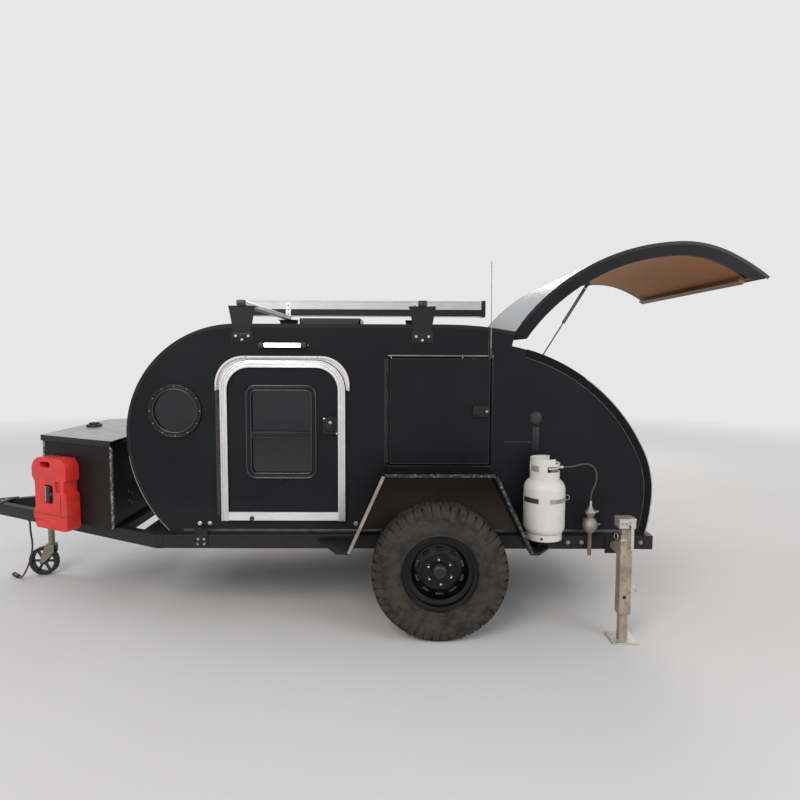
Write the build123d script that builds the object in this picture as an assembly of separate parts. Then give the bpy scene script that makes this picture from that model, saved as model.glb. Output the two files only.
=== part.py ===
"""Teardrop camping trailer, five by ten feet, parked on its tongue jack and rear legs.

X runs back from the nose, Y to the trailer's right, Z up from the ground, in millimetres.
Shapes are drawn with X measured from the nose of the body. Saving moves them, so that the
origin lies on the ground under the middle of the whole trailer.
"""
from build123d import *
import os
from math import atan2, cos, degrees, hypot, radians, sin

os.makedirs("parts", exist_ok=True)

# Body
BODY_WIDTH = 1524.0
WALL = 30.0
ROOF_THICKNESS = 40.0
FLOOR_BOTTOM = 536.0
FLOOR_THICKNESS = 40.0
NOSE_HEIGHT = 1113.0
HALF = BODY_WIDTH / 2
INNER = HALF - WALL

# The side profile, clockwise from the foot of the nose: radius, turn in degrees, straight after it
NOSE_ROWS = ((800.0, 48.0, 0.0), (640.0, 90.0, 1200.0), (2100.0, 11.0, 0.0))
HATCH_ROWS = ((1173.0, 54.0, 0.0), (643.0, 27.0, 0.0), (1183.0, 12.8, 0.0))
HATCH_THICKNESS = 78.0
HATCH_GAP = 5.0
HATCH_OPEN = 67.0
HATCH_SKIN = 8.0
HATCH_RIB = 30.0
HATCH_FOOT = 570.0
HATCH_CORNER = 42.0
HATCH_BARREL = 4.0
LINING = 5.0
WALL_INSET = HATCH_THICKNESS + HATCH_GAP
REAR_INSET = 114.0

# Running gear
WHEEL_X = 1804.0
TYRE_RADIUS = 381.0
TYRE_WIDTH = 230.0
TYRE_OUTER_Y = 1055.0
RIM_RADIUS = 190.5
NUT_TURN = -5.0
WHEEL_Y = TYRE_OUTER_Y - TYRE_WIDTH / 2

# Axle and springs
SPINDLE_RADIUS = 16.0
SPRING_HALF = 325.0
SPRING_LEAVES = (325.0, 230.0, 140.0)
SPRING_Y = 780.0
EYE_Z = 428.0
AXLE_HALF = 25.0
AXLE_TOP = TYRE_RADIUS + AXLE_HALF

# Chassis
RAIL_TOP = FLOOR_BOTTOM
RAIL_FOOT = RAIL_TOP - 80.0
RAIL_WIDTH = 60.0
RAIL_Y = 810.0
CHASSIS_FRONT = 163.0
CHASSIS_REAR = 3055.0
TONGUE_TIP = -1363.0
TONGUE_SLOPE = RAIL_Y / (CHASSIS_FRONT - TONGUE_TIP)
TONGUE_RAIL = 50.0
TONGUE_WIDE = TONGUE_RAIL * hypot(1, TONGUE_SLOPE)
TONGUE_START = TONGUE_TIP + 130.0
END_WIDTHS = (50.0, 60.0)
BALL_X = -1490.0

# Round nose windows and galley bulkhead
PORTHOLE_X, PORTHOLE_Z = 283.0, 1253.0
PORTHOLE_RADIUS, PORTHOLE_GLASS = 153.0, 130.0
BULKHEAD = (2150.0, 2168.0)

# Gas struts, as they stand with the hatch open
STRUT_Y = 700.0
STRUT_LOW = (2398.7, 1551.7)
STRUT_HIGH = (2668.5, 1993.4)
STRUT_TUBE = 262.0

# Toolbox
BOX_FRONT, BOX_REAR = -675.0, -118.0
BOX_FRONT_Y, BOX_REAR_Y = 437.0, 712.0
BOX_TOP = 1058.0
BOX_SHEET = 4.0
LID_TOP, LID_FOOT = 1067.0, 1032.0
LID_SHEET = 3.0
LID_HINGE = (-113.5, 1046.0)
LID_KNUCKLES = (-680.0, 680.0, 8)

# Fuel can, measured along the left side of the toolbox
CAN_LENGTH, CAN_DEPTH = 318.0, 90.0
CAN_BOTTOM, CAN_TOP = 505.0, 945.0
CAN_START, CAN_STANDOFF = 20.0, 6.0

# Entry door
DOOR_RING = dict(x0=545.0, x1=1265.0, z0=612.0, z1=1546.0)
DOOR_CUT = dict(x0=573.0, x1=1242.0, z0=653.0, z1=1516.0)
DOOR_LEAF = dict(x0=585.0, x1=1230.0, z0=665.0, z1=1504.0)
DOOR_TOP_RADIUS = 145.0
DOOR_FOOT_RADIUS = 25.0
DOOR_HINGE = (537.0, 786.0)
DOOR_KNUCKLES = (640.0, 1368.0, 9)
WINDOW = dict(x0=692.0, x1=1100.0, z0=862.0, z1=1405.0)
WINDOW_RADIUS = 60.0

# Side storage door
STORE_CUT = dict(x0=1513.0, x1=2109.0, z0=938.0, z1=1570.0)
STORE_GAP = 7.0
STORE_HINGE = (1511.5, 768.0)
STORE_KNUCKLES = (952.0, 1556.0, 7)

# Fender
FENDER_TOP = 928.0
FENDER_X = (1311.0, 1500.0, 2093.0, 2294.0)
FENDER_FOOT = 505.0
FENDER_SHEET = 4.0

# Tongue jack
JACK_X = -899.0
CASTER_TRAIL = 58.0
JOCKEY_RADIUS = 100.0

# Rear legs
LEG_X = 2826.0
LEG_Y = 980.0
LEG_PIVOT_Z = 486.0

# Gas bottle
BOTTLE_X, BOTTLE_Y = 2394.0, 902.0
BOTTLE_FOOT = 556.0
BOTTLE_RADIUS = 114.5
VALVE_Z, VALVE_REACH = 957.0, 22.0
REGULATOR_X, REGULATOR_Y = 2674.0, 850.0
HOSE_START_X, HOSE_END_Z = 2496.0, 752.0
HOSE = ((HOSE_START_X, -902.0, VALVE_Z), (2548.0, -902.0, VALVE_Z), (2602.0, -884.0, 970.0),
        (2652.0, -870.0, 970.0), (2690.0, -858.0, 944.0), (2706.0, -852.0, 900.0), (2700.0, -850.0, 850.0),
        (REGULATOR_X, -850.0, 800.0), (REGULATOR_X, -850.0, HOSE_END_Z))

# Wiring lead and its plug
CORD = ((-935.0, -186.0, 440.0), (-935.0, -186.0, 368.0), (-921.0, -188.0, 288.0), (-927.0, -192.0, 213.0),
        (-955.0, -182.0, 141.0), (-994.0, -160.0, 78.0), (-1034.0, -130.0, 33.0), (-1066.0, -106.0, 14.5),
        (-1092.0, -86.0, 14.5))
PLUG_RADIUS, PLUG_LENGTH = 14.0, 78.0

# Roof
BAR_X = (676.0, 1708.0)
BAR_BOTTOM = 1857.0
BAR_SIZE = (48.0, 30.0)
BAR_FAR_Y = 728.0
AWNING = dict(x0=286.0, x1=2286.0, y0=735.0, y1=875.0, z0=1887.0, z1=2018.0)
VENT_X, VENT_SIZE, VENT_WALL = 1117.0, 391.0, 20.0
VENT_BASE = 1753.0
VENT_HINGE = (VENT_X + VENT_SIZE / 2 + 14.0, VENT_BASE + 14.0)

SIDES = (("left", -1), ("right", 1))


def block(x0, x1, y0, y1, z0, z1):
    centre = Pos((x0 + x1) / 2, (y0 + y1) / 2, (z0 + z1) / 2)
    return centre * Box(x1 - x0, abs(y1 - y0), z1 - z0)


def prism_y(face, y0, y1):
    """Extrude a face drawn in x and z across the trailer."""
    low, high = sorted((y0, y1))
    return extrude(Plane.XZ.offset(-high) * face, amount=high - low)


def prism_x(face, x0, x1):
    """Extrude a face drawn in y and z along the trailer."""
    return extrude(Plane.YZ.offset(x0) * face, amount=x1 - x0)


def prism_z(face, z0, z1):
    return extrude(Pos(0, 0, z0) * face, amount=z1 - z0)


def polygon(*points):
    return make_face(Polyline(*points, close=True))


def rod(start, end, diameter):
    """A round bar from one point to another."""
    run = Vector(*end) - Vector(*start)
    plane = Plane(origin=start, z_dir=run.normalized())
    return extrude(plane * Circle(diameter / 2), amount=run.length)


def disc_y(x, z, y0, y1, radius):
    """A round piece whose axis runs across the trailer."""
    return prism_y(Pos(x, z) * Circle(radius), y0, y1)


def knuckles(start, end, count, first):
    """Every other stretch of a piano hinge; the other half has the stretches between."""
    step = (end - start) / count
    return [(start + step * number + 0.5, start + step * (number + 1) - 0.5)
            for number in range(first, count, 2)]


def upright_barrels(x, y, stretches, radius):
    shape = Part()
    for low, high in stretches:
        shape += Pos(x, y, (low + high) / 2) * Cylinder(radius, high - low)
    return shape


def mirrored(shape):
    """The same piece on the other side of the trailer."""
    return mirror(shape, Plane.XZ)


def for_side(shape, side):
    """Pieces are drawn on the left; the right one is its mirror image."""
    return shape if side < 0 else mirrored(shape)


def both(shape):
    return Part() + [shape, mirrored(shape)]


def save(name, shape):
    export_step(Pos(-ORIGIN_FROM_NOSE, 0, 0) * shape, f"parts/{name}.step")


# Profile
def arc_rows(rows, centre, heading, inset):
    """Arcs and straights of a clockwise outline, moved inwards by inset; also where it ends."""
    edges, (cx, cz), angle, radius = [], centre, heading, rows[0][0]
    for number, (next_radius, turn, straight) in enumerate(rows):
        if number:
            shift = radius - next_radius
            cx, cz = cx - shift * sin(angle), cz + shift * cos(angle)
        radius = next_radius
        spots = []
        for part in (0.0, 0.5, 1.0):
            at = angle - radians(turn) * part
            spots.append((cx - (radius - inset) * sin(at), cz + (radius - inset) * cos(at)))
        edges.append(ThreePointArc(*spots))
        angle -= radians(turn)
        if straight:
            step = (straight * cos(angle), straight * sin(angle))
            last = spots[-1]
            edges.append(Line(last, (last[0] + step[0], last[1] + step[1])))
            cx, cz = cx + step[0], cz + step[1]
    return edges, (cx, cz), angle, radius


NOSE_START = radians(90.0 + NOSE_ROWS[0][1])
NOSE_CENTRE = (NOSE_ROWS[0][0], NOSE_HEIGHT)


def nose_run(inset):
    """The nose and roof, from the foot to the hatch hinge."""
    return arc_rows(NOSE_ROWS, NOSE_CENTRE, NOSE_START, inset)[0]


def hatch_run(inset):
    """The rear curve under the hatch, from the hinge to the foot."""
    _, (cx, cz), angle, radius = arc_rows(NOSE_ROWS, NOSE_CENTRE, NOSE_START, 0.0)
    shift = radius - HATCH_ROWS[0][0]
    centre = (cx - shift * sin(angle), cz + shift * cos(angle))
    return arc_rows(HATCH_ROWS, centre, angle, inset)[0]


def closed(edges):
    """A face from runs of edges, with straight lines where they don't meet."""
    joined = list(edges)
    ends = list(zip(edges, edges[1:] + edges[:1]))
    for first, second in ends:
        gap = (second @ 0) - (first @ 1)
        if gap.length > 0.01:
            joined.append(Line(first @ 1, second @ 0))
    return make_face(joined)


def band(run, outer, inner):
    """The face between two insets of one run."""
    edges = run(outer) + [Line(run(outer)[-1] @ 1, run(inner)[-1] @ 1)]
    edges += list(run(inner)) + [Line(run(inner)[0] @ 0, run(outer)[0] @ 0)]
    return make_face(edges)


def teardrop(front_inset, rear_inset):
    """The whole side of the body above its floor."""
    return closed(nose_run(front_inset) + hatch_run(rear_inset))


HINGE = nose_run(0.0)[-1] @ 1
HINGE_X, HINGE_Z = HINGE.X, HINGE.Y


def above_floor(shape, bottom=FLOOR_BOTTOM, top=4000.0):
    return shape & block(-500, 4000, -2000, 2000, bottom, top)


def frame_face(x0, x1, z0, z1, top_radius, foot_radius):
    """An upright rectangle with rounded corners, drawn in x and z."""
    face = polygon((x0, z0), (x1, z0), (x1, z1), (x0, z1))
    low = face.vertices().sort_by(Axis.Y)[:2]
    face = fillet(low, foot_radius)
    high = [v for v in face.vertices() if v.Y > z1 - 1]
    return fillet(high, top_radius)


def upright(cut, top_radius, foot_radius):
    """The face of a named cut or leaf."""
    return frame_face(**cut, top_radius=top_radius, foot_radius=foot_radius)


def grown(cut, amount):
    return dict(x0=cut["x0"] - amount, x1=cut["x1"] + amount, z0=cut["z0"] - amount, z1=cut["z1"] + amount)


# Chassis
def leg_bracket():
    """The plate on the left rail and the pin that a rear leg swings on."""
    plate = block(LEG_X - 50, LEG_X + 50, -RAIL_Y - 10, -RAIL_Y, RAIL_TOP - 100, RAIL_TOP)
    return plate + disc_y(LEG_X, LEG_PIVOT_Z, -LEG_Y + 36, -RAIL_Y, 15)


def tongue_y(x):
    """How far the outer edge of a tongue rail is from the middle."""
    return (x - TONGUE_TIP) * TONGUE_SLOPE


def chassis_rails():
    """The two side rails, and the two tongue rails that lean together towards the coupler."""
    front, rear = CHASSIS_FRONT + END_WIDTHS[0], CHASSIS_REAR - END_WIDTHS[1]
    side = block(front, rear, -RAIL_Y, -RAIL_Y + RAIL_WIDTH, RAIL_FOOT, RAIL_TOP)
    start, stop = tongue_y(TONGUE_START), tongue_y(CHASSIS_FRONT)
    lean = polygon((TONGUE_START, -start), (CHASSIS_FRONT, -stop), (CHASSIS_FRONT, TONGUE_WIDE - stop),
                   (TONGUE_START, TONGUE_WIDE - start))
    return both(side) + both(prism_z(lean, RAIL_FOOT, RAIL_TOP))


def crossmembers():
    """What the rails carry: end and cross members, the jack plate, a bolted plate and a leg's pin a side."""
    rear, inner = CHASSIS_REAR - END_WIDTHS[1], RAIL_Y - RAIL_WIDTH
    members = [block(x, x + width, -RAIL_Y, RAIL_Y, RAIL_FOOT, RAIL_TOP)
               for x, width in ((CHASSIS_FRONT, END_WIDTHS[0]), (rear, END_WIDTHS[1]))]
    members += [block(x, x + 50, -inner, inner, RAIL_TOP - 50, RAIL_TOP) for x in (1440.0, 2130.0, 2600.0)]
    near, far = tongue_y(TONGUE_START) - TONGUE_WIDE, tongue_y(CHASSIS_FRONT) - TONGUE_WIDE
    between = prism_z(polygon((TONGUE_START, -near), (CHASSIS_FRONT, -far), (CHASSIS_FRONT, far),
                              (TONGUE_START, near)), RAIL_FOOT, RAIL_TOP)
    for x, width in ((-400.0, 50.0), (-128.0, 50.0), (60.0, 40.0)):
        members.append(block(x, x + width, -RAIL_Y, RAIL_Y, RAIL_TOP - 50, RAIL_TOP) & between)
    plate = block(JACK_X - 70, JACK_X + 70, -RAIL_Y, RAIL_Y, RAIL_TOP - 40, RAIL_TOP - 28) & between
    members.append(plate - Pos(JACK_X, 0, RAIL_TOP - 34) * Cylinder(31, 20))
    plate = prism_y(frame_face(393.0, 471.0, 459.0, 575.0, 14.0, 14.0), -RAIL_Y - 6, -RAIL_Y)
    plate += disc_y(432.0, RAIL_TOP - 40, -RAIL_Y - 16, -RAIL_Y - 6, 14)
    for piece in (plate, leg_bracket()):
        members += [piece, mirrored(piece)]
    return Part() + members


def coupler():
    top = polygon((BALL_X - 20, -34), (-1300.0, -40), (-1180.0, -tongue_y(-1180.0)),
                  (-1180.0, tongue_y(-1180.0)), (-1300.0, 40), (BALL_X - 20, 34))
    shape = prism_z(top, RAIL_TOP, RAIL_TOP + 6)
    nose = block(BALL_X, -1236.0, -34, 34, RAIL_TOP - 52, RAIL_TOP)
    shape += nose + Pos(BALL_X, 0, RAIL_TOP - 23) * Cylinder(37, 58)
    shape -= Pos(BALL_X, 0, RAIL_TOP - 34) * Sphere(25.8)
    shape -= Pos(BALL_X, 0, RAIL_TOP - 54) * Cylinder(25.8, 40)
    shape -= block(BALL_X + 45, -1236.0, -28, 28, RAIL_TOP - 60, RAIL_TOP - 6)
    latch = polygon((45, 4), (190, 4), (194, 24), (172, 16), (100, 22), (78, 40), (52, 38))
    latch = Pos(BALL_X, RAIL_TOP) * fillet(latch.vertices(), 3.0)
    return shape + prism_y(latch, -12, 12)


def axle():
    """The beam, its two spindles and the brake backing plates."""
    beam = block(WHEEL_X - 25, WHEEL_X + 25, -820, 820, TYRE_RADIUS - 25, AXLE_TOP)
    spindle = disc_y(WHEEL_X, TYRE_RADIUS, -984, -790, SPINDLE_RADIUS)
    spindle += disc_y(WHEEL_X, TYRE_RADIUS, -828, -820, 128)
    return beam + spindle + mirrored(spindle)


def leaf_springs():
    """Three leaves on each side, with their eyes, hangers, clamp and the bolts round the beam."""
    arch = 14.0
    radius = (SPRING_HALF ** 2 + arch ** 2) / (2 * arch)
    centre = (WHEEL_X, AXLE_TOP + radius)
    pack = Part()
    for number, reach in enumerate(SPRING_LEAVES):
        low = radius - 7.0 * (2 - number)
        ends = []
        for r in (low, low - 7.0):
            half = reach / radius
            spots = [(centre[0] + r * sin(a), centre[1] - r * cos(a)) for a in (-half, 0.0, half)]
            ends.append(spots)
        bottom, top = ThreePointArc(*ends[0]), ThreePointArc(*ends[1])
        face = make_face([bottom, top, Line(ends[0][0], ends[1][0]), Line(ends[0][2], ends[1][2])])
        pack += prism_y(face, -SPRING_Y - 22, -SPRING_Y + 22)
    for x in (WHEEL_X - SPRING_HALF, WHEEL_X + SPRING_HALF):
        pack += disc_y(x, EYE_Z + 6, -SPRING_Y - 22, -SPRING_Y + 22, 14)
        for y in (-SPRING_Y - 28, -SPRING_Y + 23):
            pack += block(x - 22, x + 22, y, y + 5, EYE_Z - 12, RAIL_FOOT)
        pack += disc_y(x, EYE_Z + 6, -SPRING_Y - 32, -SPRING_Y + 32, 7)
    clamp = block(WHEEL_X - 45, WHEEL_X + 45, -SPRING_Y - 36, -SPRING_Y + 36, AXLE_TOP + 20, AXLE_TOP + 27)
    return both(pack + clamp + beam_bolts(-SPRING_Y - 28) + beam_bolts(-SPRING_Y + 28))


def beam_bolts(y):
    """A U-bolt under the beam, with its two nuts on the clamp."""
    thick, reach, top = 5.0, AXLE_HALF + 6.0, AXLE_TOP + 44.0
    low = TYRE_RADIUS - AXLE_HALF - thick
    path = FilletPolyline((WHEEL_X - reach, y, top), (WHEEL_X - reach, y, low), (WHEEL_X + reach, y, low),
                          (WHEEL_X + reach, y, top), radius=6)
    shape = sweep(Plane(origin=path @ 0, z_dir=path % 0) * Circle(thick), path=path)
    for x in (WHEEL_X - reach, WHEEL_X + reach):
        shape += prism_z(Pos(x, y) * RegularPolygon(8.5, 6), AXLE_TOP + 26, AXLE_TOP + 36)
    return shape


def tyre():
    """The left tyre out to the tips of its tread, hollow as fitted on its rim."""
    outline = ((191.2, 78), (208.6, 79), (214.0, 92), (240.0, 108), (285.0, 115), (330.0, 111), (362.0, 98),
               (377.0, 84), (381.0, 60))
    inside = ((352.0, 60), (338.0, 88), (290.0, 100), (240.0, 94), (212.0, 70), (191.2, 62))
    half = list(outline) + [(381.0, -60)] + [(r, -w) for r, w in reversed(outline[:-1])]
    back = [(r, -w) for r, w in reversed(inside)] + list(inside)
    section = polygon(*half, *back)
    ring = revolve(section, Axis.Y)
    return Pos(WHEEL_X, -WHEEL_Y, TYRE_RADIUS) * ring


def rim():
    """A pressed steel wheel: barrel, disc with vents, six nuts and a cap. Outwards is -Y here."""
    edge = ((208.0, -92), (208.0, -84), (190.5, -80), (188.0, -50), (165.0, -40), (165.0, 20), (188.0, 50),
            (190.5, 80), (208.0, 84), (208.0, 92))
    barrel = [(r - 5.0, w) for r, w in edge]
    section = polygon(*edge, *reversed(barrel))
    shape = revolve(section, Axis.Y)
    dish = polygon((45.0, -30), (100.0, -34), (130.0, -22), (162.0, -10), (162.0, -2), (128.0, -14),
                   (100.0, -22), (45.0, -20))
    disc = revolve(dish, Axis.Y)
    bore = SPINDLE_RADIUS + 0.5
    hub = revolve(polygon((0.0, -62), (34.0, -62), (44.0, -52), (46.0, -20), (46.0, 60), (bore, 60),
                          (bore, -50), (0.0, -50)), Axis.Y)
    vent = extrude(Plane.XZ.offset(-10) * Pos(0, 128) * SlotOverall(44, 20), amount=60)
    for number in range(10):
        disc -= Rot(0, 36.0 * number, 0) * vent
    shape += disc + hub
    nut = extrude(Plane.XZ.offset(20) * Pos(0, 69.85) * RegularPolygon(11, 6), amount=26)
    for number in range(6):
        shape += Rot(0, 60.0 * number + NUT_TURN, 0) * nut
    drum = polygon((44.0, -22), (131.0, -16), (131.0, 100), (125.0, 100), (125.0, -8), (44.0, -8))
    shape += revolve(drum, Axis.Y)
    return Pos(WHEEL_X, -WHEEL_Y, TYRE_RADIUS) * shape


# Body shell
def side_wall():
    wall = above_floor(prism_y(teardrop(0.0, WALL_INSET), -HALF, -INNER))
    wall -= prism_y(door_opening(0.0), -800, -700)
    wall -= prism_y(upright(STORE_CUT, 12, 12), -800, -700)
    wall -= disc_y(PORTHOLE_X, PORTHOLE_Z, -800, -700, PORTHOLE_GLASS)
    return wall


def roof_shell():
    shell = above_floor(prism_y(band(nose_run, 0.0, ROOF_THICKNESS), -INNER, INNER))
    angle = radians(-NOSE_ROWS[-1][1])
    down, back = (sin(angle), -cos(angle)), (-cos(angle), -sin(angle))
    deep = HATCH_THICKNESS + 5
    low = (HINGE_X + deep * down[0], HINGE_Z + deep * down[1])
    header = polygon((HINGE_X, HINGE_Z), low, (low[0] + 60 * back[0], low[1] + 60 * back[1]),
                     (HINGE_X + 60 * back[0], HINGE_Z + 60 * back[1] - 12))
    shell += prism_y(header, -INNER, INNER) + disc_y(HINGE_X, HINGE_Z, -INNER, INNER, HATCH_BARREL)
    half = VENT_SIZE / 2 - VENT_WALL
    return shell - block(VENT_X - half, VENT_X + half, -half, half, 1600, 1800)


def cabin_floor():
    face = teardrop(ROOF_THICKNESS, REAR_INSET)
    return above_floor(prism_y(face, -INNER, INNER), FLOOR_BOTTOM, FLOOR_BOTTOM + FLOOR_THICKNESS)


def galley_bulkhead():
    face = teardrop(ROOF_THICKNESS, WALL_INSET)
    plate = above_floor(prism_y(face, -INNER, INNER), FLOOR_BOTTOM + FLOOR_THICKNESS)
    return plate & block(*BULKHEAD, -INNER, INNER, 0, HINGE_Z - 75)


def galley_cabinet():
    """Worktop, open shelves under it and one shelf above, in plain board."""
    board, top, rear = 18.0, 950.0, 2830.0
    front, low = BULKHEAD[1], FLOOR_BOTTOM + FLOOR_THICKNESS
    shape = block(front, rear, -INNER, INNER, top - 24, top)
    for y in (-INNER, -board / 2 - 240, board / 2 + 222, INNER - board):
        shape += block(front, rear - 30, y, y + board, low, top - 24)
    shape += block(front, rear - 40, -INNER, INNER, 740, 740 + board)
    shape += block(front, 2440.0, -INNER, INNER, 1300, 1300 + board)
    for y in (-board / 2 - 240, board / 2 + 222):
        shape += block(front, 2420.0, y, y + board, 1300 + board, 1540)
    return shape


# Hatch
def opened(shape):
    """The hatch and what is on it, swung up about the hinge line."""
    return Pos(HINGE_X, 0, HINGE_Z) * Rot(0, -HATCH_OPEN, 0) * Pos(-HINGE_X, 0, -HINGE_Z) * shape


def hatch():
    """Skin with its lip, and side, head and foot ribs rounded at the foot; drawn closed, then swung open."""
    skin = prism_y(band(hatch_run, 0.0, HATCH_SKIN), -HALF, HALF)
    side = band(hatch_run, 0.0, HATCH_THICKNESS) & frame_face(2000.0, 3300.0, HATCH_FOOT, 1900.0, 1, 1)
    corner = side.vertices().sort_by(Axis.Y)[:2].sort_by(Axis.X)[0]
    full = prism_y(fillet(corner, HATCH_CORNER), -HALF, HALF)
    rib = full & block(2000, 3300, -HALF, -HALF + HATCH_RIB, 500, 1800)
    reach = HALF - HATCH_RIB
    head = full & block(2000, HINGE_X + 34, -reach, reach, 1500, 1800)
    foot = full & block(2900, 3300, -reach, reach, HATCH_FOOT, HATCH_FOOT + 36)
    slot = Pos(HINGE_X, HINGE_Z) * Rot(0, 0, -NOSE_ROWS[-1][1]) * Rectangle(2 * HATCH_GAP, 400)
    return opened(skin + rib + mirrored(rib) + head + foot - prism_y(slot, -HALF - 1, HALF + 1))


def hatch_lining():
    """The inner board, with the grab bar across its foot and an ear for each strut."""
    reach = HALF - HATCH_RIB - 0.5
    depth = HATCH_THICKNESS - 1.0
    board = prism_y(band(hatch_run, depth - LINING, depth), -reach, reach)
    board &= block(HINGE_X + 35, 3300, -2000, 2000, HATCH_FOOT + 37, 1800)
    bar = prism_y(band(hatch_run, depth - LINING, depth + 30), -reach + 8, reach - 8)
    bar &= block(2900, 3300, -2000, 2000, HATCH_FOOT + 37, HATCH_FOOT + 70)
    x, z = STRUT_HIGH_CLOSED
    ear = Pos(x, z) * Circle(11) + Pos(x + 12, z + 14) * Rectangle(40, 18)
    ear = prism_y(ear, -STRUT_Y - 20, -STRUT_Y - 11)
    ear += disc_y(*STRUT_HIGH_CLOSED, -STRUT_Y - 12, -STRUT_Y + 6, 4)
    ear -= prism_y(band(hatch_run, 0.0, depth - 1.0), -HALF, HALF)
    return opened(board + bar + ear + mirrored(ear))


def swung(spot, turn):
    """A spot in x and z turned about the hatch hinge; positive lifts it."""
    dx, dz = spot[0] - HINGE_X, spot[1] - HINGE_Z
    c, s = cos(radians(turn)), sin(radians(turn))
    return HINGE_X + dx * c - dz * s, HINGE_Z + dx * s + dz * c


STRUT_HIGH_CLOSED = swung(STRUT_HIGH, -HATCH_OPEN)
COUPLER_NOSE = BALL_X - 37.0
ORIGIN_FROM_NOSE = (COUPLER_NOSE + swung(tuple(hatch_run(0.0)[-1] @ 1)[:2], HATCH_OPEN)[0]) / 2


def strut_studs():
    """The wall plates at the foot of each strut; their studs stop short of the rod eyes."""
    plate = disc_y(*STRUT_LOW, -INNER, -INNER + 6, 20) + disc_y(*STRUT_LOW, -INNER, -STRUT_Y - 9, 5)
    return both(plate)


def strut_ends():
    """The two eyes of the left strut, and the direction from its rod up to its tube."""
    low, high = Vector(STRUT_LOW[0], -STRUT_Y, STRUT_LOW[1]), Vector(STRUT_HIGH[0], -STRUT_Y, STRUT_HIGH[1])
    return low, high, (high - low).normalized()


def strut_tube():
    low, high, along = strut_ends()
    collar = high - along * STRUT_TUBE
    tube = rod(tuple(collar), tuple(high - along * 4), 18.0)
    tube += disc_y(high.X, high.Z, -STRUT_Y - 5, -STRUT_Y + 5, 9)
    tube -= rod(tuple(collar - along), tuple(high - along * 14), 9.0)
    return tube - disc_y(high.X, high.Z, -STRUT_Y - 9, -STRUT_Y + 9, 4.3)


def strut_rod():
    low, high, along = strut_ends()
    shaft = rod(tuple(low + along * 4), tuple(high - along * (STRUT_TUBE - 8)), 8.0)
    return shaft + disc_y(low.X, low.Z, -STRUT_Y - 5, -STRUT_Y + 5, 8)


# Doors
def door_opening(grow):
    """The entry opening's outline, made larger or smaller all round."""
    return upright(grown(DOOR_CUT, grow), DOOR_TOP_RADIUS + grow, DOOR_FOOT_RADIUS + grow)


def window_outline(inset):
    """The door window's outline; its corners tighten a little less than the inset."""
    radius = WINDOW_RADIUS - max(inset - 4.0, 0.0)
    return upright(grown(WINDOW, -inset), radius, radius)


def door_frames():
    """The jamb in each entry opening with its inside flange, the drip cap and the fixed hinge halves."""
    outer = door_opening(0.0)
    inner = door_opening(-4.0)
    flange = door_opening(20.0)
    ring = prism_y(outer - inner, -HALF, -INNER + 3) + prism_y(flange - inner, -INNER, -INNER + 3)
    cap = frame_face(520.0, 1290.0, 500.0, 1571.0, 165.0, 20.0)
    cap -= frame_face(530.0, 1280.0, 400.0, 1561.0, 155.0, 20.0)
    hood = prism_y(cap, -HALF - 26, -HALF) & block(0, 2000, -900, -700, 1374, 1600)
    x, y = DOOR_HINGE
    entry = knuckles(*DOOR_KNUCKLES, 0)
    hinge = upright_barrels(x, -y, entry, 5) + block(x - 22, x - 1, -HALF - 3, -HALF, *DOOR_KNUCKLES[:2])
    for low, high in entry:
        hinge += block(x - 6, x - 1, -y, -HALF, low, high)
    x, y = STORE_HINGE
    store = knuckles(*STORE_KNUCKLES, 0)
    small_hinge = upright_barrels(x, -y, store, 4)
    small_hinge += block(x - 22, x - 5, -HALF - 3, -HALF, *STORE_KNUCKLES[:2])
    for low, high in store:
        small_hinge += block(x - 6, x, -HALF - 3, -HALF, low, high)
    return both(ring + hood + hinge + small_hinge)


def entry_door():
    """A leaf with a proud edge ring, its window cut through, its sill step and latch."""
    leaf = prism_y(upright(DOOR_LEAF, 133.0, 15.0), -HALF - 12, -INNER - 1)
    ring = upright(DOOR_RING, 170.0, 20.0) - upright(grown(DOOR_LEAF, -2), 131.0, 13.0)
    shape = leaf + prism_y(ring, -HALF - 20, -HALF - 5)
    shape -= prism_y(window_outline(32.0), -900, -700)
    shape += prism_y(window_outline(0.0) - window_outline(32.0), -HALF - 20, -HALF - 12)
    shape += block(WINDOW["x0"] + 20, WINDOW["x1"] - 20, -HALF - 16, -HALF - 2, 1097, 1137)
    shape += block(1139, 1221, -HALF - 24, -HALF - 12, 1122, 1218)
    x, y = DOOR_HINGE
    stretches = knuckles(*DOOR_KNUCKLES, 1)
    shape += upright_barrels(x, -y, stretches, 5)
    for low, high in stretches:
        shape += block(x + 1, x + 13, -y, -HALF - 18, low, high)
    return shape


def door_glass():
    return prism_y(window_outline(32.0), -HALF - 1, -HALF + 4)


def storage_door():
    shape = prism_y(upright(grown(STORE_CUT, -STORE_GAP), 8, 8), -HALF - 5, -INNER)
    shape += block(2008, 2092, -HALF - 14, -HALF - 5, 1228, 1284)
    x, y = STORE_HINGE
    stretches = knuckles(*STORE_KNUCKLES, 1)
    shape += upright_barrels(x, -y, stretches, 4)
    for low, high in stretches:
        shape += block(x, x + 24, -y - 2, -HALF - 5, low, high)
    return shape


def portholes():
    ring = disc_y(PORTHOLE_X, PORTHOLE_Z, -HALF - 14, -HALF, PORTHOLE_RADIUS)
    ring += disc_y(PORTHOLE_X, PORTHOLE_Z, -HALF, -INNER + 8, PORTHOLE_GLASS)
    ring -= disc_y(PORTHOLE_X, PORTHOLE_Z, -900, -600, PORTHOLE_GLASS - 8)
    return both(ring)


def porthole_glass():
    return both(disc_y(PORTHOLE_X, PORTHOLE_Z, -HALF - 2, -HALF + 4, PORTHOLE_GLASS - 8))


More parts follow.
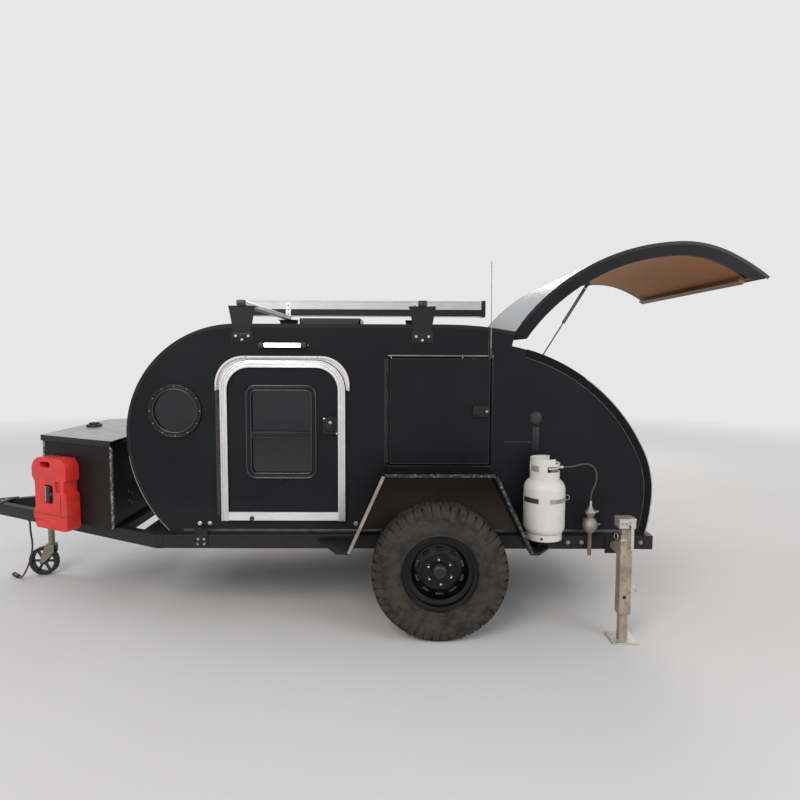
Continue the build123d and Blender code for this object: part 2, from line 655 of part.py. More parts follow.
# Fenders, step and shelf
def fenders():
    x0, x1, x2, x3 = FENDER_X
    outer = [(x0, FENDER_FOOT), (x1, FENDER_TOP), (x2, FENDER_TOP), (x3, FENDER_FOOT)]
    lean = FENDER_SHEET * 1.09
    under = FENDER_TOP - FENDER_SHEET
    inner = [(x3 - lean, FENDER_FOOT), (x2 - 2, under), (x1 + 2, under), (x0 + lean, FENDER_FOOT)]
    strip = prism_y(polygon(*outer, *inner), -TYRE_OUTER_Y, -RAIL_Y)
    high = prism_y(polygon(*outer, *inner), -RAIL_Y, -HALF) & block(0, 4000, -900, -700, RAIL_TOP, 1000)
    shape = strip + high
    plate_top = 515.0
    step = polygon((1107.0, -RAIL_Y), (1240.0, -TYRE_OUTER_Y), (1316.0, -TYRE_OUTER_Y), (1316.0, -RAIL_Y))
    shape += prism_z(step, plate_top - 14, plate_top)
    rear = polygon((2289.0, -RAIL_Y), (2289.0, -TYRE_OUTER_Y), (2340.0, -TYRE_OUTER_Y), (2515.0, -RAIL_Y))
    shape += prism_z(rear, plate_top - 14, plate_top)
    return both(shape)


def gas_shelf():
    """The round cradle that the bottle stands in."""
    tray = Pos(BOTTLE_X, -BOTTLE_Y, BOTTLE_FOOT - 3) * Cylinder(100, 6)
    post = block(BOTTLE_X - 40, BOTTLE_X + 40, -RAIL_Y - 130, -RAIL_Y, 515.0, BOTTLE_FOOT - 6)
    return tray + post


def gas_bottle():
    """Steel bottle with domed ends, foot ring, guard collar with its openings, and the valve."""
    foot, low, high, top, out = 22.0, 70.0, 282.0, 346.0, BOTTLE_RADIUS
    body = [Line((0, foot), (62, foot)), ThreePointArc((62, foot), (101, 38), (out, low)),
            Line((out, low), (out, high)), ThreePointArc((out, high), (98, 323), (50, top)),
            Line((50, top), (0, top)), Line((0, top), (0, foot))]
    shape = revolve(Plane.XZ * make_face(body), Axis.Z)
    ring = Cylinder(100, 34) - Cylinder(96, 34)
    shape += Pos(0, 0, 17) * ring
    collar = Cylinder(82, 128) - Cylinder(78, 128)
    collar = Pos(0, 0, 328 + 64) * collar
    collar -= Pos(82, 0, 454) * Box(80, 400, 50)
    for angle in (0.0, 200.0, 300.0):
        collar -= Rot(0, 0, angle) * Pos(80, 0, 400) * Box(30, 90, 34)
    shape += collar
    shape += Pos(0, 0, 367) * Cylinder(16, 54) + Pos(0, 0, 424) * Cylinder(24, 22)
    shape += Pos(0, 0, 402) * Cylinder(9, 30) + block(0, VALVE_REACH, -11, 11, 389, 412)
    return Pos(BOTTLE_X, -BOTTLE_Y, BOTTLE_FOOT) * shape


def gas_regulator():
    """Two stages turned in one piece, each with its side port, and the pipe down past the rail."""
    top = HOSE_END_Z
    outline = [Line((0, 566), (14, 566)), ThreePointArc((14, 566), (42, 611), (15, 656)),
               Line((15, 656), (28, 680)), ThreePointArc((28, 680), (29.5, 688), (25, 695)),
               Line((25, 695), (8, 722)), Line((8, 722), (8, top)), Line((8, top), (0, top)),
               Line((0, top), (0, 566))]
    body = revolve(Plane.XZ * make_face(outline), Axis.Z)
    shape = Pos(REGULATOR_X, -REGULATOR_Y, 0) * body
    for z, reach in ((611.0, 56.0), (686.0, 46.0)):
        shape += rod((REGULATOR_X + 20, -REGULATOR_Y, z), (REGULATOR_X + reach, -REGULATOR_Y, z + 6), 13)
    shape += rod((REGULATOR_X, -REGULATOR_Y, 436), (REGULATOR_X, -REGULATOR_Y, 570), 22)
    shape += block(REGULATOR_X - 16, REGULATOR_X + 16, -REGULATOR_Y + 30, -HALF, 596, 626)
    shape += rod((BOTTLE_X + VALVE_REACH, -BOTTLE_Y, VALVE_Z), (HOSE_START_X, -BOTTLE_Y, VALVE_Z), 14)
    return shape


def tube_along(route, diameter):
    """A tube on straight runs joined by arcs as large as the runs allow."""
    spots = [Vector(*spot) for spot in route]
    radii = []
    for before, here, after in zip(spots, spots[1:], spots[2:]):
        turn = radians((here - before).get_angle(after - here))
        run = min((here - before).length, (after - here).length)
        radii.append(0.45 * run / (sin(turn / 2) / cos(turn / 2)))
    path = FilletPolyline(*route, radius=radii)
    start = Plane(origin=route[0], z_dir=path % 0)
    return sweep(start * Circle(diameter / 2), path=path), radii, path.length


def gas_hose():
    tube, radii, length = tube_along(HOSE, 10.0)
    print("gas hose radii", [round(r) for r in radii], "length", round(length), "volume", round(tube.volume))
    return tube


# Toolbox and can
def box_corners(grow):
    """The corners of the box in plan, moved outwards by grow."""
    slope = (BOX_REAR_Y - BOX_FRONT_Y) / (BOX_REAR - BOX_FRONT)
    side = grow * hypot(1, slope)
    x0, x1 = BOX_FRONT - grow, BOX_REAR + grow
    y0 = BOX_FRONT_Y - grow * slope + side
    y1 = BOX_REAR_Y + grow * slope + side
    return (x0, -y0), (x1, -y1), (x1, y1), (x0, y0)


def sheets(outer, inner, low, high):
    """Upright sheets between two outlines, mitred at the corners, one for each side."""
    ends = list(zip(outer, inner))
    return [prism_z(polygon(a, b, d, c), low, high) for (a, c), (b, d) in zip(ends, ends[1:] + ends[:1])]


def toolbox_floor():
    return prism_z(polygon(*box_corners(0.0)), RAIL_TOP, RAIL_TOP + BOX_SHEET)


def box_sheets():
    """The box's four upright sheets: left, rear, right and front."""
    return sheets(box_corners(0.0), box_corners(-BOX_SHEET), RAIL_TOP + BOX_SHEET, BOX_TOP)


def toolbox_ends():
    """The front sheet, and the rear one with its half of the lid's hinge."""
    _, rear, _, front = box_sheets()
    x, z = LID_HINGE
    for low, high in knuckles(*LID_KNUCKLES, 0):
        rear += disc_y(x, z, low, high, 4) + block(BOX_REAR, x - 1, low, high, z - 40, z)
    return Part() + [front, rear]


def toolbox_sides():
    """The slanted sheets, and the plate on the left one that holds the can."""
    left, _, right, _ = box_sheets()
    plate = Pos(CAN_START + CAN_LENGTH / 2, -CAN_STANDOFF / 2, 220) * Box(180, CAN_STANDOFF, 240)
    return Part() + [left + near_side(0, 0, CAN_BOTTOM) * plate, right]


def toolbox_lid():
    """The lid's plate, with its half of the hinge."""
    shape = prism_z(polygon(*box_corners(12.0)), LID_TOP - LID_SHEET, LID_TOP)
    x, z = LID_HINGE
    for low, high in knuckles(*LID_KNUCKLES, 1):
        shape += disc_y(x, z, low, high, 4) + block(x, x + 4, low, high, z, LID_TOP - LID_SHEET)
    return shape


def lid_skirt():
    """The lid's turned-down edge on its front and sides."""
    left, _, right, front = sheets(box_corners(12.0), box_corners(8.0), LID_FOOT, LID_TOP - LID_SHEET)
    room = block(BOX_FRONT - 100, BOX_REAR - 2, -900, 900, 0, 2000)
    return (left + front + right) & room


def near_side(along, out, z):
    """A spot beside the left wall of the toolbox: along it from the front corner, and out from it."""
    slope = atan2(BOX_REAR_Y - BOX_FRONT_Y, BOX_REAR - BOX_FRONT)
    x = BOX_FRONT + along * cos(slope) - out * sin(slope)
    y = -BOX_FRONT_Y - along * sin(slope) - out * cos(slope)
    return Pos(x, y, z) * Rot(0, 0, -degrees(slope))


def jerry_can():
    low, high = 0.0, CAN_TOP - CAN_BOTTOM
    wide = CAN_LENGTH
    outline = polygon((8, low + 60), (30, low), (wide - 20, low), (wide, low + 30), (wide, 225),
                      (wide - 22, 245), (wide - 22, 300), (wide, 320), (wide, 395), (wide - 34, high),
                      (60, high), (0, 380), (0, 318), (26, 290), (26, 130), (8, 108))
    body = extrude(Plane.XZ * outline, amount=CAN_DEPTH)
    handle = extrude(Plane.XZ.offset(-1) * Pos(135, high - 40) * SlotOverall(90, 38), amount=CAN_DEPTH + 2)
    return near_side(CAN_START, CAN_STANDOFF, CAN_BOTTOM) * (body - handle)


# Roof
def rack_brackets():
    shape = Part()
    for x in BAR_X:
        top = BAR_BOTTOM
        plate = polygon((x - 62, 1646), (x + 62, 1646), (x + 62, 1706), (x + 52, 1722), (x + 77, top),
                        (x - 77, top), (x - 52, 1722), (x - 62, 1706))
        side = prism_y(plate, -HALF - 6, -HALF)
        side += block(x - 77, x + 77, -HALF - 6, -HALF + 70, top - 6, top)
        shape += side + mirrored(side)
    return shape


def crossbars():
    """Two aluminium bars with rounded long edges."""
    wide, tall = BAR_SIZE
    bar = block(-wide / 2, wide / 2, -HALF - 18, BAR_FAR_Y, BAR_BOTTOM, BAR_BOTTOM + tall)
    bar = fillet(bar.edges().filter_by(Axis.Y), 5.0)
    return Part() + [Pos(x, 0, 0) * bar for x in BAR_X]


def awning():
    """The case with its end caps, and the two angle brackets that hang it off the crossbars."""
    y0, y1, z0, z1 = AWNING["y0"], AWNING["y1"], AWNING["z0"], AWNING["z1"]
    section = polygon((y0, z0), (y1 - 20, z0), (y1, z0 + 35), (y1 - 10, z1 - 12), (y1 - 40, z1), (y0, z1))
    section = fillet(section.vertices().sort_by(Axis.X)[-4:], 9.0)
    x0, x1, cap = AWNING["x0"], AWNING["x1"], 34.0
    shape = prism_x(offset(section, -3.0), x0 + cap, x1 - cap) + prism_x(section, x0, x0 + cap)
    shape += prism_x(section, x1 - cap, x1)
    y0 += 3.0
    sheet, wide, foot = 6.0, 20.0, 30.0
    for x in BAR_X:
        shape += block(x - wide, x + wide, y0 - sheet, y0, BAR_BOTTOM, z1 - 18)
        shape += block(x - wide, x + wide, y0 - sheet, y0 + foot, BAR_BOTTOM, BAR_BOTTOM + sheet)
    return shape


def roof_vent():
    """The square ring on the roof, with two lugs for the lid's hinge behind it."""
    half = VENT_SIZE / 2
    base = block(VENT_X - half, VENT_X + half, -half, half, VENT_BASE, VENT_BASE + 26)
    half -= VENT_WALL
    base -= block(VENT_X - half, VENT_X + half, -half, half, VENT_BASE - 1, VENT_BASE + 30)
    x, z = VENT_HINGE
    lug = block(x - 16, x, -102, -78, z - 10, z) + disc_y(x, z, -102, -78, 5)
    return base + lug + mirrored(lug)


def vent_lid():
    half = VENT_SIZE / 2 + 8
    lid = block(VENT_X - half, VENT_X + half, -half, half, VENT_BASE + 18, VENT_BASE + 66)
    lid = fillet(lid.edges().filter_by(Axis.Z), 24)
    half -= 3
    lid -= block(VENT_X - half, VENT_X + half, -half, half, VENT_BASE + 10, VENT_BASE + 60)
    x, z = VENT_HINGE
    ear = block(x - 8, x, -77, -60, z + 4, z + 12) + disc_y(x, z, -77, -60, 5)
    ear += block(x - 3, x + 3, -77, -60, z, z + 8)
    return lid + ear + mirrored(ear)


def porch_lights():
    lamp = block(772, 1045, -HALF - 26, -HALF, 1618, 1648)
    return both(lamp)


def tail_lamps():
    lamp = block(CHASSIS_REAR, CHASSIS_REAR + 22, -740, -590, 470, 522)
    return both(lamp)


# Tongue jack
def jack_tube():
    shape = Pos(JACK_X, 0, 660) * (Cylinder(30, 400) - Cylinder(26, 410))
    shape += Pos(JACK_X, 0, 863) * Cylinder(34, 8)
    flange = block(JACK_X - 60, JACK_X + 60, -45, 45, RAIL_TOP - 28, RAIL_TOP - 20)
    shape += flange - Pos(JACK_X, 0, 512) * Cylinder(28, 30)
    shape += rod((JACK_X, 0, 866), (JACK_X, 0, 884), 16)
    shape += rod((JACK_X - 10, 0, 878), (JACK_X + 150, 0, 878), 12)
    shape += rod((JACK_X + 150, 0, 872), (JACK_X + 150, 0, 940), 18)
    return shape


def jack_leg():
    leg = Pos(JACK_X, 0, 430.5) * Cylinder(21, 411)
    return leg - Pos(JACK_X, 0, 245) * Cylinder(10.5, 42)


def jockey_fork():
    axle_x, top = JACK_X - CASTER_TRAIL, 224.0
    shape = Pos(JACK_X, 0, top - 4) * Cylinder(28, 8)
    for y in (-31.0, 26.0):
        cheek = polygon((JACK_X + 26, top), (JACK_X - 30, top), (axle_x - 16, 104), (axle_x, 86),
                        (axle_x + 16, 96), (JACK_X + 26, 165))
        shape += prism_y(cheek, y, y + 5)
    shape += block(JACK_X - 30, JACK_X + 26, -31, 31, top - 8, top)
    shape += disc_y(axle_x, JOCKEY_RADIUS, -31, 31, 8)
    return shape + Pos(JACK_X, 0, top + 18) * Cylinder(10, 36)


def jockey_wheel():
    axle_x = JACK_X - CASTER_TRAIL
    shape = disc_y(0, 0, -20, 20, JOCKEY_RADIUS) - disc_y(0, 0, -30, 30, JOCKEY_RADIUS - 22)
    shape += disc_y(0, 0, -20, 20, 26)
    for number in range(6):
        shape += Rot(0, 60.0 * number, 0) * block(20, JOCKEY_RADIUS - 18, -8, 8, -7, 7)
    shape -= disc_y(0, 0, -30, 30, 9)
    return Pos(axle_x, 0, JOCKEY_RADIUS) * shape


# Rear legs
def rear_jack():
    """The tube that swings on the rail bracket, with its head and the crank folded down beside it."""
    shape = block(LEG_X - 32, LEG_X + 32, -LEG_Y - 32, -LEG_Y + 32, 150, 600)
    shape -= block(LEG_X - 27, LEG_X + 27, -LEG_Y - 27, -LEG_Y + 27, 140, 580)
    shape += block(LEG_X - 45, LEG_X + 45, -LEG_Y - 40, -LEG_Y + 40, 640, 690)
    shape += block(LEG_X - 25, LEG_X + 25, -LEG_Y - 25, -LEG_Y + 25, 590, 650)
    out = -LEG_Y - 40
    shape += disc_y(LEG_X + 20, 660, out - 14, out, 9)
    shape += block(LEG_X + 12, LEG_X + 28, out - 20, out - 12, 520, 672)
    shape += disc_y(LEG_X + 20, 530, out - 12, -LEG_Y - 32.5, 7)
    shape += disc_y(LEG_X, LEG_PIVOT_Z, -LEG_Y + 30, -RAIL_Y - 16, 26)
    shape -= disc_y(LEG_X, LEG_PIVOT_Z, -LEG_Y + 33, -RAIL_Y, 15.5)
    return shape


def rear_leg():
    shape = block(LEG_X - 22, LEG_X + 22, -LEG_Y - 22, -LEG_Y + 22, 8, 350)
    shape += block(LEG_X - 75, LEG_X + 75, -LEG_Y - 72, -LEG_Y + 72, 0, 8)
    return shape


# Wiring
def wiring_gland():
    """The grommet under the left tongue rail that the lead comes out of."""
    x, y, z = CORD[0]
    return Pos(x, y, (z + RAIL_FOOT) / 2) * Cylinder(12, RAIL_FOOT - z)


def wiring_cord():
    tube, radii, length = tube_along(CORD, 12.0)
    print("cord radii", [round(r) for r in radii], "length", round(length), "volume", round(tube.volume))
    return tube


def wiring_plug():
    start, ahead = Vector(*CORD[-1]), (Vector(*CORD[-1]) - Vector(*CORD[-2])).normalized()
    plane = Plane(origin=start, z_dir=ahead)
    return extrude(plane * Circle(PLUG_RADIUS), amount=PLUG_LENGTH)


WHOLE = (
    chassis_rails, crossmembers, coupler, axle, leaf_springs, cabin_floor, roof_shell, galley_bulkhead,
    galley_cabinet, hatch, hatch_lining, strut_studs, door_frames, portholes, porthole_glass, fenders,
    gas_shelf, gas_bottle, gas_regulator, gas_hose, toolbox_floor, toolbox_ends, toolbox_sides, toolbox_lid,
    lid_skirt, jerry_can, rack_brackets, crossbars, awning, roof_vent, vent_lid, porch_lights, tail_lamps,
    jack_tube, jack_leg, jockey_fork, jockey_wheel, wiring_cord, wiring_plug, wiring_gland,
)
PAIRED = (
    side_wall, tyre, rim, entry_door, door_glass, storage_door, strut_tube, strut_rod, rear_jack, rear_leg,
)


def build():
    for draw in WHOLE:
        save(draw.__name__, draw())
    for draw in PAIRED:
        left = draw()
        for name, side in SIDES:
            save(f"{draw.__name__}_{name}", for_side(left, side))


build()
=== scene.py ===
"""The looks of a teardrop camping trailer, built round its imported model.

Lengths are in metres. Places are written with x from the nose of the body, y to the trailer's
right and z from the ground, and spot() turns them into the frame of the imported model.
"""
from math import atan2, cos, hypot, pi, radians, sin

import bmesh
import bpy
from mathutils import Matrix, Vector


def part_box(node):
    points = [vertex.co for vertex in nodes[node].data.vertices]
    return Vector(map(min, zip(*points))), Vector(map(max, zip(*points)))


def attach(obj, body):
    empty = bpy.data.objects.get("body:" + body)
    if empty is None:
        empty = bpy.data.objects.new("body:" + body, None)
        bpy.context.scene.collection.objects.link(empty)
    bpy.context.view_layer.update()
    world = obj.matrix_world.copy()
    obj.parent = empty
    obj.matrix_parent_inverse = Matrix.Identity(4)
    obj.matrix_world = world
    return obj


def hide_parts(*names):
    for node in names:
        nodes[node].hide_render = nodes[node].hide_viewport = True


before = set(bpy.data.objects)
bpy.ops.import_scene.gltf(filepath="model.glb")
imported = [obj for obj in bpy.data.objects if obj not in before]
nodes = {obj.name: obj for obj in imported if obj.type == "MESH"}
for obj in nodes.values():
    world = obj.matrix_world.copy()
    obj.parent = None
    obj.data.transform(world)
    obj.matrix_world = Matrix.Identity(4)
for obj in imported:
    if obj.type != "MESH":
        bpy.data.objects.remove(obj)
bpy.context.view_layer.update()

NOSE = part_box("side_wall_left")[0].x


def spot(x, y, z):
    return Vector((NOSE + x, y, z))


def extent(node):
    """The low and high corners of a node, measured as spot() takes them."""
    return [corner - spot(0, 0, 0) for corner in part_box(node)]


# Driving places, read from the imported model
FACE_Y = extent("side_wall_left")[0].y
TYRE_LOW, TYRE_HIGH = extent("tyre_left")
HUB = (TYRE_LOW + TYRE_HIGH) / 2
TYRE_RADIUS = (TYRE_HIGH.z - TYRE_LOW.z) / 2
RAIL_TOP, RAIL_Y = extent("chassis_rails")[1].z, extent("chassis_rails")[0].y
FENDER_Y = extent("fenders")[0].y
JOCKEY = sum(extent("jockey_wheel"), Vector()) / 2

# The side profile of the body: radius, turn in degrees, straight after it
NOSE_ROWS = ((0.800, 48.0, 0.0), (0.640, 90.0, 1.200), (2.100, 11.0, 0.0))
HATCH_ROWS = ((1.173, 54.0, 0.0), (0.643, 27.0, 0.0), (1.183, 12.8, 0.0))
NOSE_CENTRE, NOSE_START = (0.800, 1.113), radians(138.0)
HATCH_OPEN = 67.0
WALL_INSET = 0.083

# Doors, in x0, x1, z0, z1
DOOR_RING = (0.545, 1.265, 0.612, 1.546)
DOOR_LEAF = (0.585, 1.230, 0.665, 1.504)
WINDOW = (0.692, 1.100, 0.862, 1.405)
STORE_CUT = (1.513, 2.109, 0.938, 1.570)

LEFT, UP = (0, -1, 0), (0, 0, 1)
# How a point of an outline and a place along it are laid out: in the row frame, or about the origin
LAYOUTS = {"y": lambda a, b, c: spot(a, c, b), "x": lambda a, b, c: spot(c, a, b), "z": spot,
           "flat": lambda a, b, c: (a, b, c), "can": lambda a, b, c: (a, -c, b)}


# Making and finishing meshes
def new_object(name, data):
    obj = bpy.data.objects.new(name, data)
    bpy.context.scene.collection.objects.link(obj)
    return obj


def new_mesh(name, verts, faces):
    mesh = bpy.data.meshes.new(name)
    mesh.from_pydata([tuple(v) for v in verts], [], faces)
    mesh.validate()
    return new_object(name, mesh)


def outward(obj, merge=1e-6):
    """Merges doubles and turns every face outwards."""
    work = bmesh.new()
    work.from_mesh(obj.data)
    bmesh.ops.remove_doubles(work, verts=work.verts, dist=merge)
    bmesh.ops.recalc_face_normals(work, faces=work.faces)
    work.to_mesh(obj.data)
    work.free()
    return obj


def smooth(obj, angle=35.0):
    obj.data.shade_smooth()
    obj.data.set_sharp_from_angle(angle=radians(angle))
    return obj


def painted(obj, finish):
    obj.data.materials.clear()
    obj.data.materials.append(finish)
    return obj


def settle(obj):
    """Makes what the modifiers and the place of an object give its plain mesh, at the origin."""
    bpy.context.view_layer.update()
    mesh = bpy.data.meshes.new_from_object(obj.evaluated_get(bpy.context.evaluated_depsgraph_get()))
    mesh.transform(obj.matrix_world)
    if obj.type != "MESH":
        name = obj.name
        bpy.data.objects.remove(obj)
        return new_object(name, mesh)
    obj.modifiers.clear()
    obj.data = mesh
    obj.matrix_world = Matrix.Identity(4)
    return obj


def bevelled(obj, width, segments=2, angle=30.0):
    bevel = obj.modifiers.new("soft_edges", "BEVEL")
    bevel.width, bevel.segments = width, segments
    bevel.limit_method, bevel.angle_limit = "ANGLE", radians(angle)
    return obj


def soften(obj, width, segments=2, angle=30.0):
    return smooth(settle(bevelled(obj, width, segments, angle)), 40.0)


def skin(name, rings, looped=False, shut=True):
    """A surface over rings of points, each shut or open, the last joined to the first or both capped."""
    count, total, faces = len(rings[0]), len(rings), []
    for n in range(total if looped else total - 1):
        a, b = n * count, (n + 1) % total * count
        faces += [(a + k, a + (k + 1) % count, b + (k + 1) % count, b + k)
                  for k in range(count if shut else count - 1)]
    if not looped:
        faces += [tuple(range(count)), tuple(range(count * (total - 1), count * total))]
    return outward(new_mesh(name, [v for ring in rings for v in ring], faces))


def prism(name, outline, low, high, across="y"):
    """A solid from an outline: in x and z for across y, in y and z for x, in x and y for z."""
    return skin(name, [[LAYOUTS[across](a, b, c) for a, b in outline] for c in (low, high)])


def rounded(x0, x1, z0, z1, top, foot=None, steps=4):
    """A rectangle with round corners, from the low front corner round by the rear."""
    foot = top if foot is None else foot
    points = []
    for cx, cz, radius, start in ((x1 - foot, z0 + foot, foot, -90), (x1 - top, z1 - top, top, 0),
                                  (x0 + top, z1 - top, top, 90), (x0 + foot, z0 + foot, foot, 180)):
        for n in range(steps + 1):
            angle = radians(start + 90.0 * n / steps)
            points.append((cx + radius * cos(angle), cz + radius * sin(angle)))
    return points


def grown(limits, amount):
    return limits[0] - amount, limits[1] + amount, limits[2] - amount, limits[3] + amount


def circle(radius, count=8, x=0.0, y=0.0):
    return [(x + radius * cos(2 * pi * n / count), y + radius * sin(2 * pi * n / count)) for n in range(count)]


def turned(profile, centre, axis, steps=24, closed=False):
    """A profile of (radius, height along the axis) turned about the axis through centre."""
    axis = Vector(axis).normalized()
    side = axis.orthogonal().normalized()
    other = axis.cross(side)
    return skin("turned", [[Vector(centre) + (side * c + other * s) * r + axis * h for r, h in profile]
                           for c, s in circle(1.0, steps)], True, closed)


def moulding(name, path, section, closed=True, level=0.0, across="y"):
    """A section swept along a path. Its points are (in from a clockwise path, along the third axis)."""
    count, rings = len(path), []
    for n, (x, z) in enumerate(path):
        before = path[n - 1] if closed or n else path[n]
        after = path[(n + 1) % count] if closed or n < count - 1 else path[n]
        first, second = Vector((x - before[0], z - before[1])), Vector((after[0] - x, after[1] - z))
        first = first.normalized() if first.length > 1e-9 else second.normalized()
        second = second.normalized() if second.length > 1e-9 else first
        mean = (first + second).normalized()
        mitre = mean / max(0.3, mean.dot(first))
        rings.append([LAYOUTS[across](x + mitre.y * away, z - mitre.x * away, level + along)
                      for away, along in section])
    return skin(name, rings, closed)


# Finished parts: made, rounded and painted in one go
def block(x, y, z, finish, edge=0.0, segments=2, across="z"):
    """A box from three pairs of limits."""
    box = prism("block", [(x[0], y[0]), (x[1], y[0]), (x[1], y[1]), (x[0], y[1])], z[0], z[1], across)
    return painted(soften(box, edge, segments) if edge else box, finish)


def plate(outline, low, high, finish, edge=0.0, segments=2, across="y"):
    """A flat part with the given outline."""
    flat = prism("plate", outline, low, high, across)
    return painted(soften(flat, edge, segments) if edge else flat, finish)


def spun(profile, centre, axis, finish, steps=24, angle=35, closed=False):
    """A turned part."""
    return painted(smooth(turned(profile, centre, axis, steps, closed), angle), finish)


def ring_of(radius, thick, centre, axis, finish, steps=40, count=10, rise=0.0):
    """A round bar bent to a ring."""
    return spun(circle(thick, count, radius, rise), centre, axis, finish, steps, 60, True)


def strip(name, points, section, finish, y=FACE_Y):
    """A trim with its section along an open run in x and z."""
    return painted(smooth(moulding(name, points, section, False, y), 35), finish)


def bead(limits, radius, thick, finish, proud, steps=10, foot=None):
    """A round bead along a rectangle with round corners, standing proud of the left side."""
    path = rounded(*limits, radius, foot, steps)
    return painted(smooth(moulding("bead", path, circle(thick), True, FACE_Y - proud), 60), finish)


def pipe(name, points, radius, finish, kind="POLY", sides=4, capped=True):
    """A round bar along points."""
    curve = bpy.data.curves.new(name, "CURVE")
    curve.dimensions = "3D"
    curve.bevel_depth, curve.bevel_resolution, curve.use_fill_caps = radius, sides, capped
    spline = curve.splines.new(kind)
    spline.points.add(len(points) - 1)
    for point, place in zip(spline.points, points):
        point.co = (*place, 1.0)
    if kind == "NURBS":
        spline.order_u, spline.use_endpoint_u, curve.resolution_u = 3, True, 10
    curve.materials.append(finish)
    return new_object(name, curve)


def joined(name, parts):
    """One mesh object from several, each with its own materials."""
    verts, faces, slots, smooths, materials = [], [], [], [], []
    for part in parts:
        part = settle(part)
        base = len(verts)
        verts += [v.co.copy() for v in part.data.vertices]
        own = list(part.data.materials) or [None]
        for face in part.data.polygons:
            material = own[min(face.material_index, len(own) - 1)]
            if material not in materials:
                materials.append(material)
            faces.append([base + v for v in face.vertices])
            slots.append(materials.index(material))
            smooths.append(face.use_smooth)
        bpy.data.objects.remove(part)
    obj = new_mesh(name, verts, faces)
    for material in materials:
        obj.data.materials.append(material)
    for face, slot_number, is_smooth in zip(obj.data.polygons, slots, smooths):
        face.material_index = slot_number
        face.use_smooth = is_smooth
    obj.data.set_sharp_from_angle(angle=radians(38))
    return obj


def mirror_copy(obj, name):
    """The same piece on the other side of the trailer."""
    mesh = obj.data.copy()
    mesh.transform(Matrix.Scale(-1, 4, (0, 1, 0)))
    mesh.flip_normals()
    return new_object(name, mesh)


def fit(name, parts, slot_name, body="trailer", *stands_for):
    """One piece from its parts: it rides on its body and hides the nodes it stands for; its slot name is not used."""
    obj = joined(name, parts) if isinstance(parts, list) else parts
    obj.name = name
    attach(obj, body)
    if stands_for:
        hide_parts(*stands_for)
    return obj


def fit_pair(name, parts, slot_name, body="trailer", *stands_for):
    """Fits a left piece and its mirror image, each on its own body or both on one."""
    obj = joined(name + "_left", parts) if isinstance(parts, list) else parts
    twin = mirror_copy(obj, name + "_right")
    for side, piece in (("_left", obj), ("_right", twin)):
        fit(name + side, piece, slot_name, body if body in ("trailer", "hatch") else body + side,
            *[node + side for node in stands_for])


# Geometry trees
def fill(tree, node, inputs):
    """Gives a node its inputs, as values or as sockets to link."""
    for key, value in inputs.items():
        if isinstance(value, bpy.types.NodeSocket):
            tree.links.new(value, node.inputs[key])
        else:
            node.inputs[key].default_value = value


def add(tree, kind, inputs=None, **settings):
    node = tree.nodes.new(kind)
    for key, value in settings.items():
        setattr(node, key, value)
    fill(tree, node, inputs or {})
    return node


def geo(tree, kind, inputs=None, **settings):
    """The first output of a new geometry node."""
    return add(tree, "GeometryNode" + kind, inputs, **settings).outputs[0]


def vector(tree, operation, first, second):
    """The result of a vector node, scaled or divided by its second value."""
    key = "Scale" if operation == "SCALE" else 1
    return add(tree, "ShaderNodeVectorMath", {0: first, key: second}, operation=operation).outputs[0]


def times(tree, first, second, operation="MULTIPLY", third=0.0):
    return add(tree, "ShaderNodeMath", {0: first, 1: second, 2: third}, operation=operation).outputs[0]


def new_tree(name, inputs):
    """A geometry tree with a Geometry input and the named ones: its inputs and its output node as well."""
    tree = bpy.data.node_groups.new(name, "GeometryNodeTree")
    tree.interface.new_socket("Geometry", in_out="INPUT", socket_type="NodeSocketGeometry")
    tree.interface.new_socket("Geometry", in_out="OUTPUT", socket_type="NodeSocketGeometry")
    for label, kind in inputs.items():
        tree.interface.new_socket(label, in_out="INPUT", socket_type="NodeSocket" + kind)
    return tree, tree.nodes.new("NodeGroupInput").outputs, tree.nodes.new("NodeGroupOutput")


def end_tree(tree, instances, finish, output):
    """Every tree ends with its instances made real and its material set."""
    real = geo(tree, "RealizeInstances", {"Geometry": instances})
    tree.links.new(geo(tree, "SetMaterial", {"Geometry": real, "Material": finish}), output.inputs[0])
    return tree


def repeat_tree():
    """Copies of the incoming mesh, each turned about the origin from the one before."""
    tree, given, output = new_tree("repeat_by_turn", {"Count": "Int", "Turn": "Vector", "Material": "Material"})
    turn = vector(tree, "SCALE", given["Turn"], geo(tree, "InputIndex"))
    spin = add(tree, "FunctionNodeEulerToRotation", {0: turn}).outputs[0]
    copies = geo(tree, "InstanceOnPoints", {"Points": geo(tree, "Points", {"Count": given["Count"]}),
                                            "Instance": given["Geometry"], "Rotation": spin})
    return end_tree(tree, copies, given["Material"], output)


def points_tree():
    """A small piece set on every point of the incoming mesh."""
    tree, given, output = new_tree("pieces_at_points", {"Piece": "Object", "Material": "Material"})
    piece = add(tree, "GeometryNodeObjectInfo", {"Object": given["Piece"]}).outputs["Geometry"]
    copies = geo(tree, "InstanceOnPoints", {"Points": given["Geometry"], "Instance": piece})
    return end_tree(tree, copies, given["Material"], output)


